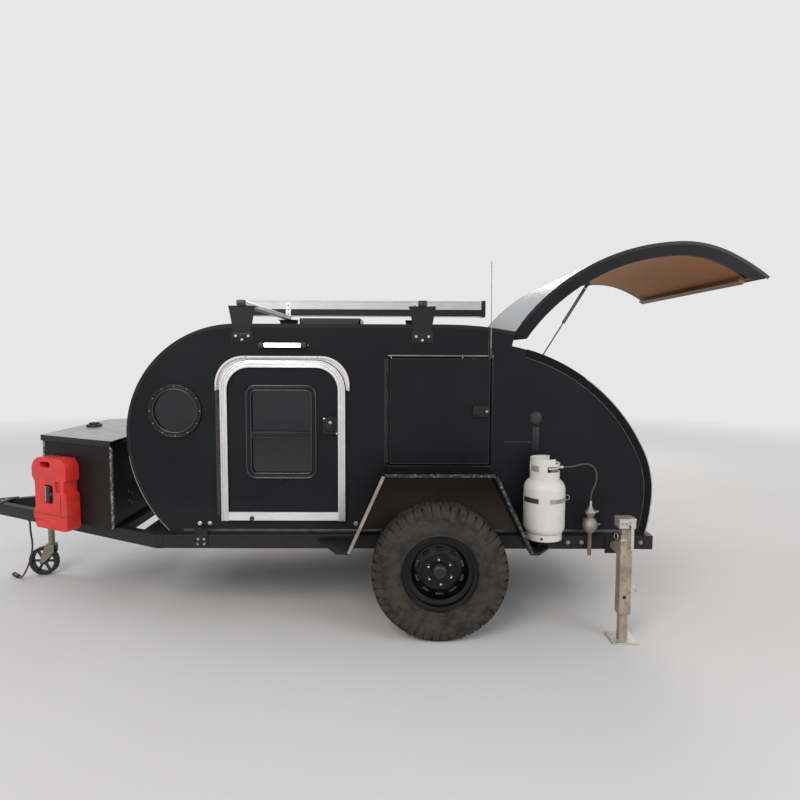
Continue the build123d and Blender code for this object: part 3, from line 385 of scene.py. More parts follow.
def tread_plate_tree():
    """Raised lozenges, turned one way and the other, over the incoming flat face, whose top is at z 0."""
    tree, given, output = new_tree("tread_plate", {
        "Pitch": "Float", "Length": "Float", "Width": "Float", "Rise": "Float", "Rows": "Int", "Material": "Material"})
    size = times(tree, times(tree, given["Rows"], 1.0, "SUBTRACT"), given["Pitch"])
    grid = geo(tree, "MeshGrid", {"Size X": size, "Size Y": size,
                                  "Vertices X": given["Rows"], "Vertices Y": given["Rows"]})
    hit = geo(tree, "Raycast", {"Target Geometry": given["Geometry"], "Ray Direction": (0.0, 0.0, -1.0),
                                "Ray Length": 1.0})
    raised = geo(tree, "SetPosition", {"Geometry": grid, "Offset": (0.0, 0.0, 0.5)})
    missed = add(tree, "FunctionNodeBooleanMath", {0: hit}, operation="NOT").outputs[0]
    kept = geo(tree, "DeleteGeometry", {"Geometry": raised, "Selection": missed})
    lowered = geo(tree, "SetPosition", {"Geometry": kept, "Offset": (0.0, 0.0, -0.5)})
    step = add(tree, "ShaderNodeVectorMath", {0: geo(tree, "InputPosition"), 1: given["Pitch"]}, operation="DIVIDE")
    apart = add(tree, "ShaderNodeSeparateXYZ", {0: step.outputs[0]})
    near = times(tree, times(tree, apart.outputs[0], apart.outputs[1], "ADD"), 0.0, "ROUND")
    turn = times(tree, times(tree, near, 2.0, "FLOORED_MODULO"), pi / 2, "MULTIPLY_ADD", pi / 4)
    euler = add(tree, "ShaderNodeCombineXYZ", {2: turn}).outputs[0]
    spin = add(tree, "FunctionNodeEulerToRotation", {0: euler}).outputs[0]
    lozenge = geo(tree, "MeshCone", {"Vertices": 6, "Radius Top": 0.28, "Radius Bottom": 1.0, "Depth": 1.0})
    scale = add(tree, "ShaderNodeCombineXYZ", {0: given["Length"], 1: given["Width"], 2: given["Rise"]})
    shaped = geo(tree, "Transform", {"Geometry": lozenge, "Scale": scale.outputs[0]})
    both = add(tree, "GeometryNodeJoinGeometry")
    tree.links.new(geo(tree, "InstanceOnPoints", {"Points": lowered, "Instance": shaped, "Rotation": spin}),
                   both.inputs[0])
    tree.links.new(given["Geometry"], both.inputs[0])
    return end_tree(tree, both.outputs[0], given["Material"], output)


REPEAT, AT_POINTS, TREAD_PLATE = repeat_tree(), points_tree(), tread_plate_tree()


def grow(obj, tree, **values):
    """Runs a tree on an object with its inputs given by name, and keeps the result as its mesh."""
    modifier = obj.modifiers.new(tree.name, "NODES")
    modifier.node_group = tree
    for item in tree.interface.items_tree:
        if item.item_type == "SOCKET" and item.in_out == "INPUT" and item.name in values:
            modifier[item.identifier] = values[item.name]
    return settle(obj)


# Materials
DUST = (0.26, 0.19, 0.145)


def new_material(name):
    """A new material, its tree, its shader and the place on the piece."""
    material = bpy.data.materials.new(name)
    material.use_nodes = True
    tree = material.node_tree
    tree.nodes.clear()
    shader = add(tree, "ShaderNodeBsdfPrincipled")
    add(tree, "ShaderNodeOutputMaterial", {0: shader.outputs[0]})
    return material, tree, shader, add(tree, "ShaderNodeTexCoord").outputs["Object"]


def noise(tree, place, scale, detail=4.0, rough=0.55, stretch=None):
    """The value of a noise at a place, which may be stretched first."""
    if stretch:
        place = add(tree, "ShaderNodeMapping", {"Vector": place, "Scale": stretch}).outputs[0]
    return add(tree, "ShaderNodeTexNoise", {
        "Vector": place, "Scale": scale, "Detail": detail, "Roughness": rough}).outputs[0]


def remap(tree, value, low, high, to_low=0.0, to_high=1.0):
    return add(tree, "ShaderNodeMapRange", {
        "Value": value, "From Min": low, "From Max": high, "To Min": to_low, "To Max": to_high}).outputs[0]


def mix_colour(tree, share, *colours):
    first, second = [c if isinstance(c, bpy.types.NodeSocket) else (*c, 1.0) for c in colours]
    return add(tree, "ShaderNodeMix", {0: share, 6: first, 7: second}, data_type="RGBA").outputs[2]


def tint(colour, share):
    return tuple(min(1.0, c * share) for c in colour)


def bumped(tree, shader, height, strength, distance):
    bump = add(tree, "ShaderNodeBump", {"Height": height, "Strength": strength, "Distance": distance})
    tree.links.new(bump.outputs[0], shader.inputs["Normal"])


def surface(name, colour, rough, metal=0.0, cloud=(0.25, 5.0), grain=(0.15, 350.0), dust=None, patches=None,
            coat=0.0, specular=0.5):
    """A finish with clouds and grain (strength, scale), dust (strength, top) and patches (colour, share)."""
    material, tree, shader, place = new_material(name)
    clouds = noise(tree, place, cloud[1], 5.0, 0.6)
    shade = mix_colour(tree, remap(tree, clouds, 0.3, 0.7), tint(colour, 1 - cloud[0]), tint(colour, 1 + cloud[0]))
    roughness = remap(tree, clouds, 0.3, 0.7, rough * 0.88, min(1.0, rough * 1.12))
    if patches:
        edge = 1.0 - patches[1]
        spots = remap(tree, noise(tree, place, cloud[1] * 3.3, 8.0, 0.7), edge - 0.08, edge + 0.08)
        shade = mix_colour(tree, spots, shade, patches[0])
        roughness = times(tree, roughness, times(tree, spots, 0.25), "ADD")
    if dust:
        low = remap(tree, add(tree, "ShaderNodeSeparateXYZ", {0: place}).outputs[2], dust[1], 0.0)
        specks = remap(tree, noise(tree, place, 38.0, 6.0, 0.7), 0.35, 0.75)
        amount = times(tree, times(tree, low, times(tree, specks, 0.6, "ADD")), dust[0])
        shade = mix_colour(tree, amount, shade, DUST)
        roughness = times(tree, roughness, times(tree, amount, 0.5), "ADD")
    fill(tree, shader, {"Base Color": shade, "Roughness": roughness, "Metallic": metal, "Coat Weight": coat,
                        "Specular IOR Level": specular})
    bumped(tree, shader, noise(tree, place, grain[1], 3.0, 0.6), grain[0], 0.001)
    return material


def brushed(name, colour, rough, along, metal=1.0):
    """Metal brushed or drawn along one axis of the trailer."""
    material, tree, shader, place = new_material(name)
    lines = noise(tree, place, 420.0, 3.0, 0.6, tuple(0.02 if axis == along else 1.0 for axis in "xyz"))
    clouds = noise(tree, place, 7.0, 5.0, 0.6)
    shade = mix_colour(tree, remap(tree, lines, 0.3, 0.7), tint(colour, 0.82), tint(colour, 1.1))
    shade = mix_colour(tree, times(tree, remap(tree, clouds, 0.45, 0.8), 0.35), shade, tint(colour, 0.62))
    fill(tree, shader, {"Base Color": shade, "Metallic": metal,
                        "Roughness": remap(tree, lines, 0.3, 0.7, rough * 0.8, rough * 1.25)})
    bumped(tree, shader, lines, 0.08, 0.0005)
    return material


def board(name, light, dark, along="y", rough=0.42):
    """Varnished plywood with its grain along one axis."""
    stretch = tuple(0.07 if axis == along else 1.0 for axis in "xyz")
    material, tree, shader, place = new_material(name)
    grain = noise(tree, place, 26.0, 8.0, 0.68, stretch)
    fine = noise(tree, place, 300.0, 3.0, 0.6, stretch)
    clouds = noise(tree, place, 2.2, 3.0, 0.5)
    shade = mix_colour(tree, remap(tree, grain, 0.32, 0.68), dark, light)
    shade = mix_colour(tree, times(tree, remap(tree, fine, 0.45, 0.7), 0.25), shade, tint(dark, 0.6))
    shade = mix_colour(tree, times(tree, remap(tree, clouds, 0.4, 0.8), 0.2), shade, tint(light, 0.8))
    fill(tree, shader, {"Base Color": shade,
                        "Roughness": remap(tree, grain, 0.3, 0.7, rough * 0.85, rough * 1.2)})
    bumped(tree, shader, grain, 0.1, 0.0006)
    return material


def glass(name, colour, clear):
    """Tinted glazing with a few faint smears."""
    material, tree, shader, place = new_material(name)
    smears = noise(tree, place, 9.0, 6.0, 0.65)
    fill(tree, shader, {"Roughness": remap(tree, smears, 0.35, 0.8, 0.03, 0.14),
                        "Base Color": mix_colour(tree, remap(tree, smears, 0.3, 0.7), tint(colour, 0.8), colour),
                        "Transmission Weight": clear, "IOR": 1.5})
    return material


def lamp(name, colour, strength):
    """A lit lens with faint ribs."""
    material, tree, shader, place = new_material(name)
    ribs = noise(tree, place, 90.0, 2.0, 0.5, (1.0, 0.1, 0.1))
    shade = mix_colour(tree, remap(tree, ribs, 0.3, 0.7), tint(colour, 0.85), colour)
    fill(tree, shader, {"Base Color": shade, "Emission Color": shade, "Emission Strength": strength,
                        "Roughness": remap(tree, ribs, 0.3, 0.7, 0.2, 0.35)})
    return material


BODY_BLACK = surface("body_black_satin", (0.0085, 0.0088, 0.0112), 0.42, cloud=(0.22, 2.4),
                     grain=(0.05, 240.0), dust=(0.12, 0.75), specular=0.14)
ROOF_BLACK = surface("roof_black_satin", (0.012, 0.012, 0.015), 0.45, cloud=(0.25, 3.0),
                     grain=(0.05, 350.0), specular=0.3)
FRAME_BLACK = surface("frame_black_powder", (0.01, 0.01, 0.0115), 0.5, cloud=(0.3, 5.0),
                      grain=(0.25, 900.0), dust=(0.1, 0.7), patches=((0.028, 0.024, 0.02), 0.3), specular=0.25)
TRIM_BLACK = surface("trim_black_gloss", (0.0075, 0.0075, 0.0085), 0.32, cloud=(0.2, 5.0),
                     grain=(0.05, 350.0), specular=0.3)
SOFT_BLACK = surface("rubber_seal_black", (0.014, 0.014, 0.014), 0.72, cloud=(0.2, 5.0), grain=(0.3, 700.0))
DOOR_SILVER = brushed("door_silver_anodised", (0.74, 0.72, 0.72), 0.38, "z", metal=0.55)
BAR_SILVER = brushed("bar_silver_anodised", (0.66, 0.66, 0.68), 0.34, "y", metal=0.85)
PLATE_BRIGHT = surface("tread_plate_bright", (0.47, 0.47, 0.49), 0.4, 0.75, (0.12, 5.0), (0.1, 350.0),
                       patches=((0.4, 0.385, 0.375), 0.38))
LOZENGE_BRIGHT = surface("tread_lozenge_worn", (0.78, 0.78, 0.8), 0.3, 0.9, (0.1, 5.0), (0.08, 350.0))
PLATE_BLACK = surface("tread_plate_black", (0.0065, 0.006, 0.0065), 0.34, cloud=(0.3, 5.0),
                      grain=(0.12, 350.0), dust=(0.05, 1.1), patches=((0.035, 0.031, 0.03), 0.2), specular=0.16)
STEEL_BRIGHT = surface("steel_zinc_bright", (0.62, 0.61, 0.59), 0.28, 1.0, (0.15, 30.0), (0.12, 350.0),
                       patches=((0.4, 0.37, 0.33), 0.35))
STEEL_DULL = surface("steel_galvanised_dull", (0.36, 0.34, 0.31), 0.5, 0.7, (0.25, 18.0), (0.2, 350.0),
                     patches=((0.26, 0.2, 0.15), 0.42))
TYRE_RUBBER = surface("tyre_rubber_dusty", (0.026, 0.0245, 0.0225), 0.85, cloud=(0.3, 5.0),
                      grain=(0.5, 420.0), patches=((0.056, 0.047, 0.04), 0.52), specular=0.2)
WHEEL_BLACK = surface("wheel_black_gloss", (0.0035, 0.0035, 0.004), 0.17, cloud=(0.3, 5.0),
                      grain=(0.04, 350.0), patches=((0.014, 0.012, 0.011), 0.2), specular=0.28)
BOTTLE_WHITE = surface("bottle_offwhite_enamel", (0.62, 0.6, 0.56), 0.38, cloud=(0.06, 6.0),
                       grain=(0.1, 160.0), patches=((0.52, 0.48, 0.42), 0.3))
ALLOY_GREY = surface("regulator_grey_alloy", (0.3, 0.285, 0.265), 0.48, 0.6, (0.25, 40.0), (0.35, 500.0),
                     patches=((0.17, 0.13, 0.1), 0.4))
BRASS = surface("fitting_brass_dull", (0.55, 0.42, 0.2), 0.38, 1.0, (0.25, 40.0))
PIPE_RUST = surface("pipe_rusted", (0.2, 0.115, 0.075), 0.78, 0.15, (0.4, 30.0), (0.5, 350.0),
                    patches=((0.3, 0.21, 0.15), 0.45))
CAN_RED = surface("can_red_plastic", (0.66, 0.024, 0.02), 0.4, cloud=(0.14, 9.0), grain=(0.28, 520.0),
                  patches=((0.52, 0.06, 0.045), 0.42))
PLASTIC_BLACK = surface("knob_black_plastic", (0.014, 0.014, 0.015), 0.42, cloud=(0.2, 5.0),
                        grain=(0.2, 350.0))
JACK_TAN = surface("jack_tan_weathered", (0.36, 0.29, 0.22), 0.55, 0.35, (0.3, 9.0), (0.35, 350.0),
                   patches=((0.27, 0.17, 0.13), 0.42))
JACK_KHAKI = surface("jack_khaki_zinc", (0.27, 0.25, 0.19), 0.48, 0.5, (0.25, 12.0), (0.25, 350.0),
                     patches=((0.19, 0.16, 0.12), 0.4))
SPRING_STEEL = surface("spring_black_rusty", (0.035, 0.028, 0.024), 0.7, 0.3, (0.4, 5.0), (0.4, 350.0),
                       patches=((0.12, 0.065, 0.04), 0.42))
STRUT_BLACK = surface("strut_black_gloss", (0.012, 0.012, 0.012), 0.28, cloud=(0.2, 5.0),
                      grain=(0.04, 350.0), coat=0.2)
ROD_DARK = surface("rod_dark_nitrided", (0.07, 0.055, 0.045), 0.26, 0.9, (0.15, 5.0), (0.05, 350.0))
# The grey of the hatch's outer skin is a painted reflection of the bright sky on its black paint
HATCH_SKY_REFLECTION = surface("hatch_grey_satin", (0.36, 0.37, 0.39), 0.4, 0.2, (0.1, 2.0), (0.06, 350.0))
HATCH_BOARD = board("hatch_lining_board", (0.4, 0.17, 0.045), (0.27, 0.105, 0.026), "y", rough=0.7)
BAR_BROWN = board("hatch_bar_board", (0.17, 0.085, 0.045), (0.1, 0.045, 0.022), "y")
BIRCH_PLY = board("galley_birch_ply", (0.62, 0.43, 0.24), (0.5, 0.32, 0.16), "y")
FLOOR_BOARD = board("floor_sealed_board", (0.05, 0.045, 0.04), (0.03, 0.027, 0.024), "x", rough=0.7)
GLASS_DARK = glass("window_dark_tint", (0.006, 0.007, 0.009), 0.12)
VENT_SMOKE = surface("vent_smoke_plastic", (0.022, 0.019, 0.018), 0.3, cloud=(0.2, 5.0),
                     grain=(0.15, 600.0))
VENT_BASE = surface("vent_base_plastic", (0.16, 0.155, 0.15), 0.5, cloud=(0.12, 5.0), grain=(0.2, 350.0))
LENS_LIT = lamp("porch_lens_lit", (1.0, 0.93, 0.78), 9.0)
LENS_RED = surface("tail_lens_red", (0.3, 0.008, 0.008), 0.16, cloud=(0.2, 60.0), grain=(0.1, 350.0),
                   coat=0.4)
CORD_BLACK = surface("cord_black_rubber", (0.016, 0.016, 0.016), 0.6, cloud=(0.2, 5.0), grain=(0.3, 350.0),
                     dust=(0.35, 0.3))
HOSE_GREY = surface("hose_grey_rubber", (0.06, 0.05, 0.045), 0.6, cloud=(0.25, 20.0), grain=(0.4, 350.0))
AWNING_SILVER = brushed("awning_silver_case", (0.6, 0.59, 0.62), 0.4, "x", metal=0.6)
CAP_GREY = surface("grease_cap_dark", (0.028, 0.028, 0.03), 0.42, 0.6, (0.3, 40.0), (0.2, 350.0),
                   patches=((0.09, 0.085, 0.08), 0.35))
SILL_BRIGHT = brushed("sill_bright_anodised", (0.8, 0.78, 0.77), 0.36, "x", metal=0.5)
FRAME_GREY = surface("window_frame_grey", (0.05, 0.051, 0.056), 0.3, 0.5, (0.2, 5.0), (0.1, 350.0))
BODY_EDGE = surface("body_edge_line", (0.1, 0.1, 0.105), 0.3, 0.6, (0.3, 12.0), (0.1, 350.0))
# The lighter top strip of the storage door's trim is a painted highlight along its upper edge
STORE_TOP_HIGHLIGHT = surface("store_edge_line", (0.16, 0.158, 0.155), 0.32, 0.7, (0.4, 8.0), (0.1, 350.0))
PORT_LINE = surface("porthole_line", (0.035, 0.031, 0.029), 0.35, 0.6, (0.3, 14.0), (0.1, 350.0))
FENDER_EDGE = surface("fender_edge_bright", (0.33, 0.28, 0.25), 0.42, 0.8, (0.25, 14.0), (0.25, 350.0),
                      patches=((0.1, 0.08, 0.07), 0.3))
SCUFFED_BLACK = surface("fender_edge_scuffed", (0.02, 0.02, 0.021), 0.3, 0.4, (0.3, 20.0), (0.2, 350.0),
                        patches=((0.24, 0.23, 0.22), 0.4))
EDGE_WORN = surface("corner_edge_worn", (0.05, 0.048, 0.046), 0.4, 0.6, (0.3, 16.0), (0.2, 350.0),
                    patches=((0.42, 0.4, 0.38), 0.46))
EDGE_LINE = surface("edge_line_bright", (0.42, 0.4, 0.39), 0.4, 0.6, (0.2, 14.0))
EDGE_BLACK = surface("rear_edge_black", (0.0035, 0.0035, 0.0042), 0.36, cloud=(0.2, 5.0),
                     grain=(0.1, 350.0), specular=0.12)
AWNING_BLACK = surface("awning_black_case", (0.012, 0.012, 0.014), 0.45, cloud=(0.2, 5.0),
                       grain=(0.2, 350.0), specular=0.3)
JACK_HEAD = surface("jack_head_light_zinc", (0.5, 0.47, 0.43), 0.45, 0.6, (0.25, 30.0), (0.3, 350.0),
                    patches=((0.26, 0.2, 0.15), 0.36))
BAND_DARK = surface("bottle_band_dark", (0.045, 0.028, 0.026), 0.5, cloud=(0.35, 40.0), grain=(0.3, 350.0))
PLATE_LINE = surface("side_plate_faint", (0.014, 0.0142, 0.017), 0.34, cloud=(0.2, 5.0),
                     grain=(0.05, 350.0), specular=0.35)
HINGE_WORN = surface("hinge_worn_speckled", (0.05, 0.047, 0.045), 0.4, 0.6, (0.4, 60.0), (0.3, 350.0),
                     patches=((0.28, 0.27, 0.26), 0.3))
HINGE_DARK = surface("hinge_dark", (0.016, 0.016, 0.017), 0.4, 0.4, (0.3, 60.0), (0.2, 350.0))
LENS_AMBER = surface("tail_lens_amber", (0.6, 0.14, 0.01), 0.18, cloud=(0.15, 60.0), grain=(0.1, 350.0),
                     coat=0.4)
LENS_CLEAR = surface("tail_lens_clear", (0.6, 0.6, 0.58), 0.15, cloud=(0.1, 60.0), grain=(0.1, 350.0),
                     coat=0.4)
BIRCH_EDGE = board("galley_birch_edge", (0.7, 0.52, 0.32), (0.52, 0.35, 0.19), "y")
# The brown of the sheet inside the fender arch is a painted reflection of the ground on the black wall, with dust
# specks over it
ARCH_REFLECTION_AND_DUST = surface("arch_liner_dusty", (0.036, 0.027, 0.0225), 0.85, cloud=(0.2, 3.0),
                      grain=(0.35, 350.0), dust=(0.2, 1.0))

# Finishes of the nodes that stay; a name with a star stands for the left and the right one
NODE_FINISHES = (
    (FRAME_BLACK, "chassis_rails crossmembers coupler axle gas_shelf"), (SPRING_STEEL, "leaf_springs"),
    (FLOOR_BOARD, "cabin_floor"), (ROOF_BLACK, "roof_shell"), (BIRCH_PLY, "galley_bulkhead galley_cabinet"),
    (DOOR_SILVER, "door_frames"), (GLASS_DARK, "porthole_glass door_glass*"), (BOTTLE_WHITE, "gas_bottle"),
    (TRIM_BLACK, "portholes toolbox_lid lid_skirt rack_brackets porch_lights"), (ALLOY_GREY, "gas_regulator"),
    (BODY_BLACK, "fenders hatch side_wall* entry_door* storage_door*"), (CAN_RED, "jerry_can"),
    (PLATE_BLACK, "toolbox_floor toolbox_ends toolbox_sides"), (BAR_SILVER, "crossbars"),
    (AWNING_SILVER, "awning"), (VENT_BASE, "roof_vent"), (VENT_SMOKE, "vent_lid"), (LENS_RED, "tail_lamps"),
    (JACK_KHAKI, "jack_tube jack_leg jockey_fork"), (PLASTIC_BLACK, "jockey_wheel wiring_plug"),
    (SOFT_BLACK, "wiring_gland"), (HATCH_BOARD, "hatch_lining"), (STEEL_BRIGHT, "strut_studs"),
    (STRUT_BLACK, "strut_tube*"), (ROD_DARK, "strut_rod*"), (TYRE_RUBBER, "tyre*"), (WHEEL_BLACK, "rim*"),
    (JACK_TAN, "rear_jack* rear_leg*"))
# Widths of the small rounds on the sharp edges of nodes, in metres
ROUND_EDGES = (
    (0.0008, "toolbox_ends toolbox_sides"), (0.001, "toolbox_lid lid_skirt gas_shelf galley_cabinet jockey_fork"),
    (0.0015, "fenders rack_brackets"), (0.002, "coupler storage_door*"), (0.0025, "rear_leg*"),
    (0.003, "crossmembers crossbars rear_jack* roof_vent"), (0.004, "chassis_rails vent_lid porch_lights"))


def named(words):
    """The nodes of a list of names."""
    for word in words.split():
        for side in ("_left", "_right") if word.endswith("*") else ("",):
            yield nodes[word.rstrip("*") + side]


def dress_nodes():
    for finish, words in NODE_FINISHES:
        for node in named(words):
            node.material_slots[0].material = finish
    for width, words in ROUND_EDGES:
        for node in named(words):
            node.modifiers.new("weld", "WELD").merge_threshold = 0.00002
            bevelled(node, width, 2, 40)


# Camera, floor and light
CAMERA_PLACE = (1.560, -4.262, 1.590)
CAMERA_YAW, CAMERA_PITCH, CAMERA_ROLL = -0.0060, 0.0770, 0.0040
CAMERA_FOCAL_PIXELS, PHOTO_PIXELS, SENSOR = 607.0, 800.0, 36.0
SHOWN = (0.8, 0.8, 0.8)
# Lamp: place, aim, size, power, colour
LAMPS = (
    ("key", (-1.2, -6.5, 5.2), (1.6, -0.4, 0.8), 4.0, 260.0, (1.0, 0.97, 0.93)),
    ("fill", (6.5, -5.0, 3.4), (2.0, -0.4, 0.8), 4.0, 120.0, (0.95, 0.97, 1.0)),
    ("rear", (4.5, 6.0, 5.0), (1.6, 0.3, 1.0), 4.0, 170.0, (1.0, 0.96, 0.9)),
    ("front", (-6.0, 2.0, 4.0), (0.5, 0.0, 1.0), 3.0, 90.0, (0.97, 0.98, 1.0)),
)


def make_camera():
    data = bpy.data.cameras.new("camera")
    data.sensor_width, data.clip_end = SENSOR, 200.0
    data.lens = CAMERA_FOCAL_PIXELS / PHOTO_PIXELS * SENSOR
    camera = new_object("camera", data)
    camera.matrix_world = (Matrix.Translation(spot(*CAMERA_PLACE)) @ Matrix.Rotation(CAMERA_YAW, 4, "Z")
                           @ Matrix.Rotation(pi / 2 - CAMERA_PITCH, 4, "X") @ Matrix.Rotation(CAMERA_ROLL, 4, "Z"))
    bpy.context.scene.camera = camera


def make_stage():
    """A pale floor that fades into the backdrop, which camera, mirrors and glass see at a set shade."""
    material, tree, shader, place = new_material("floor_pale")
    clouds = noise(tree, place, 0.6, 4.0, 0.6)
    fill(tree, shader, {"Base Color": mix_colour(tree, clouds, (0.66, 0.65, 0.635), (0.72, 0.71, 0.7)),
                        "Roughness": 0.9})
    apart = add(tree, "ShaderNodeVectorMath", {0: place}, operation="LENGTH").outputs["Value"]
    far = add(tree, "ShaderNodeEmission", {"Color": (*SHOWN, 1.0), "Strength": 1.0}).outputs[0]
    blend = add(tree, "ShaderNodeMixShader", {0: remap(tree, apart, 4.5, 13.0), 1: shader.outputs[0], 2: far})
    output = next(n for n in tree.nodes if n.type == "OUTPUT_MATERIAL")
    tree.links.new(blend.outputs[0], output.inputs[0])
    floor = new_mesh("floor", [(x * 45.0, y * 45.0, 0) for x, y in ((-1, -1), (1, -1), (1, 1), (-1, 1))],
                     [(0, 1, 2, 3)])
    painted(floor, material)

    world = bpy.data.worlds.new("studio")
    bpy.context.scene.world = world
    world.use_nodes = True
    tree = world.node_tree
    tree.nodes.clear()
    path = add(tree, "ShaderNodeLightPath").outputs
    straight = times(tree, path["Is Camera Ray"], path["Is Glossy Ray"], "MAXIMUM")
    through = times(tree, straight, path["Is Transmission Ray"], "MAXIMUM")
    soft = add(tree, "ShaderNodeBackground", {"Color": (0.93, 0.95, 1.0, 1.0), "Strength": 0.55}).outputs[0]
    shown = add(tree, "ShaderNodeBackground", {"Color": (*SHOWN, 1.0), "Strength": 1.0}).outputs[0]
    mixed = add(tree, "ShaderNodeMixShader", {0: through, 1: soft, 2: shown}).outputs[0]
    add(tree, "ShaderNodeOutputWorld", {0: mixed})


def make_lamps():
    for name, place, aim, size, power, colour in LAMPS:
        data = bpy.data.lights.new(name, "AREA")
        data.shape, data.size, data.energy, data.color = "DISK", size, power, colour
        lamp_object = new_object(name, data)
        lamp_object.location = spot(*place)
        lamp_object.rotation_euler = (spot(*aim) - spot(*place)).to_track_quat("-Z", "Y").to_euler()


# Cords
CORD_WIDTH, HOSE_WIDTH = 0.012, 0.010
WIRING_ROUTE = (
    (-0.935, -0.186, 0.440), (-0.935, -0.186, 0.368), (-0.921, -0.188, 0.288), (-0.927, -0.192, 0.213),
    (-0.955, -0.182, 0.141), (-0.994, -0.160, 0.078), (-1.034, -0.130, 0.033), (-1.066, -0.106, 0.0145),
    (-1.092, -0.086, 0.0145))
HOSE_ROUTE = (
    (2.496, -0.902, 0.957), (2.548, -0.902, 0.957), (2.602, -0.884, 0.970), (2.652, -0.870, 0.970),
    (2.690, -0.858, 0.944), (2.706, -0.852, 0.900), (2.700, -0.850, 0.850), (2.674, -0.850, 0.800),
    (2.674, -0.850, 0.752))


def make_cords():
    route = [spot(*place) for place in WIRING_ROUTE]
    lead = pipe("wiring_lead", route, CORD_WIDTH / 2, CORD_BLACK, "NURBS", 5, False)
    fit("wiring_lead", lead, "rubber_black", "trailer", "wiring_cord")
    route = [spot(*place) for place in HOSE_ROUTE]
    hose = pipe("gas_hose_line", route, HOSE_WIDTH / 2, HOSE_GREY, "NURBS", 5, False)
    fit("gas_hose_line", hose, "rubber_black", "trailer", "gas_hose")


# The outline of the body
def run_points(rows, centre, heading, inset, step=4.0):
    """Points in x and z along arcs and straights of a clockwise outline; where it ends as well."""
    (cx, cz), angle, radius, points = centre, heading, rows[0][0], []
    for next_radius, turn, straight in rows:
        shift = radius - next_radius
        cx, cz, radius = cx - shift * sin(angle), cz + shift * cos(angle), next_radius
        count = max(2, round(turn / step))
        for n in range(count + 1):
            at = angle - radians(turn) * n / count
            points.append((cx - (radius - inset) * sin(at), cz + (radius - inset) * cos(at)))
        angle -= radians(turn)
        if straight:
            ahead = (straight * cos(angle), straight * sin(angle))
            points.append((points[-1][0] + ahead[0], points[-1][1] + ahead[1]))
            cx, cz = cx + ahead[0], cz + ahead[1]
    thinned = points[:1]
    for point in points[1:]:
        if hypot(point[0] - thinned[-1][0], point[1] - thinned[-1][1]) > 1e-4:
            thinned.append(point)
    return thinned, (cx, cz), angle, radius


def nose_points(inset, step=4.0):
    return run_points(NOSE_ROWS, NOSE_CENTRE, NOSE_START, inset, step)[0]


def hatch_points(inset, step):
    _, (cx, cz), angle, radius = run_points(NOSE_ROWS, NOSE_CENTRE, NOSE_START, 0.0)
    shift = radius - HATCH_ROWS[0][0]
    return run_points(HATCH_ROWS, (cx - shift * sin(angle), cz + shift * cos(angle)), angle, inset, step)[0]


HINGE_X, HINGE_Z = nose_points(0.0)[-1]


def above(points, low):
    """The points over a height, with one more where the outline crosses it."""
    kept = []
    for before, here in zip(points, points[1:]):
        if (before[1] - low) * (here[1] - low) < 0:
            share = (low - before[1]) / (here[1] - before[1])
            kept.append((before[0] + share * (here[0] - before[0]), low))
        if here[1] >= low:
            kept.append(here)
    return kept


def swung(x, z, degrees):
    """A place in x and z after the hatch turns about its hinge: up for plus degrees."""
    dx, dz, c, s = x - HINGE_X, z - HINGE_Z, cos(radians(degrees)), sin(radians(degrees))
    return HINGE_X + dx * c - dz * s, HINGE_Z + dx * s + dz * c


# Small hardware, each about the origin with its head towards +z
def screw(radius, rise):
    """A pan head with a socket."""
    profile = [(0.0, 0.55), (0.42, 0.55), (0.46, 1.0), (0.72, 0.92), (0.93, 0.6), (1.0, 0.0), (0.0, 0.0)]
    return smooth(turned([(r * radius, h * rise) for r, h in profile], (0, 0, 0), UP, 14), 40)


def bolt(radius, rise):
    """A hexagon head on a washer."""
    washer = turned([(0, 0), (radius * 1.35, 0), (radius * 1.35, rise * 0.2), (0, rise * 0.2)], (0, 0, 0), UP, 18)
    head = turned([(0, rise * 0.15), (radius, rise * 0.15), (radius, rise * 0.85), (radius * 0.86, rise), (0, rise)],
                  (0, 0, 0), UP, 6)
    return joined("bolt", [washer, head])


def facing(obj, direction, place=(0, 0, 0)):
    """Turns a piece made towards +z to face a direction, and sets it at a place."""
    turn = Vector(UP).rotation_difference(Vector(direction)).to_matrix().to_4x4()
    obj.data.transform(Matrix.Translation(place) @ turn)
    return obj


def set_out(head, places, finish, direction=LEFT):
    """Copies of a small head at each place, by the tree that sets pieces on points."""
    marks = new_mesh("heads", [spot(*place) for place in places], [])
    heads = grow(marks, AT_POINTS, Piece=facing(head, direction), Material=finish)
    bpy.data.objects.remove(head)
    return smooth(outward(heads), 40)


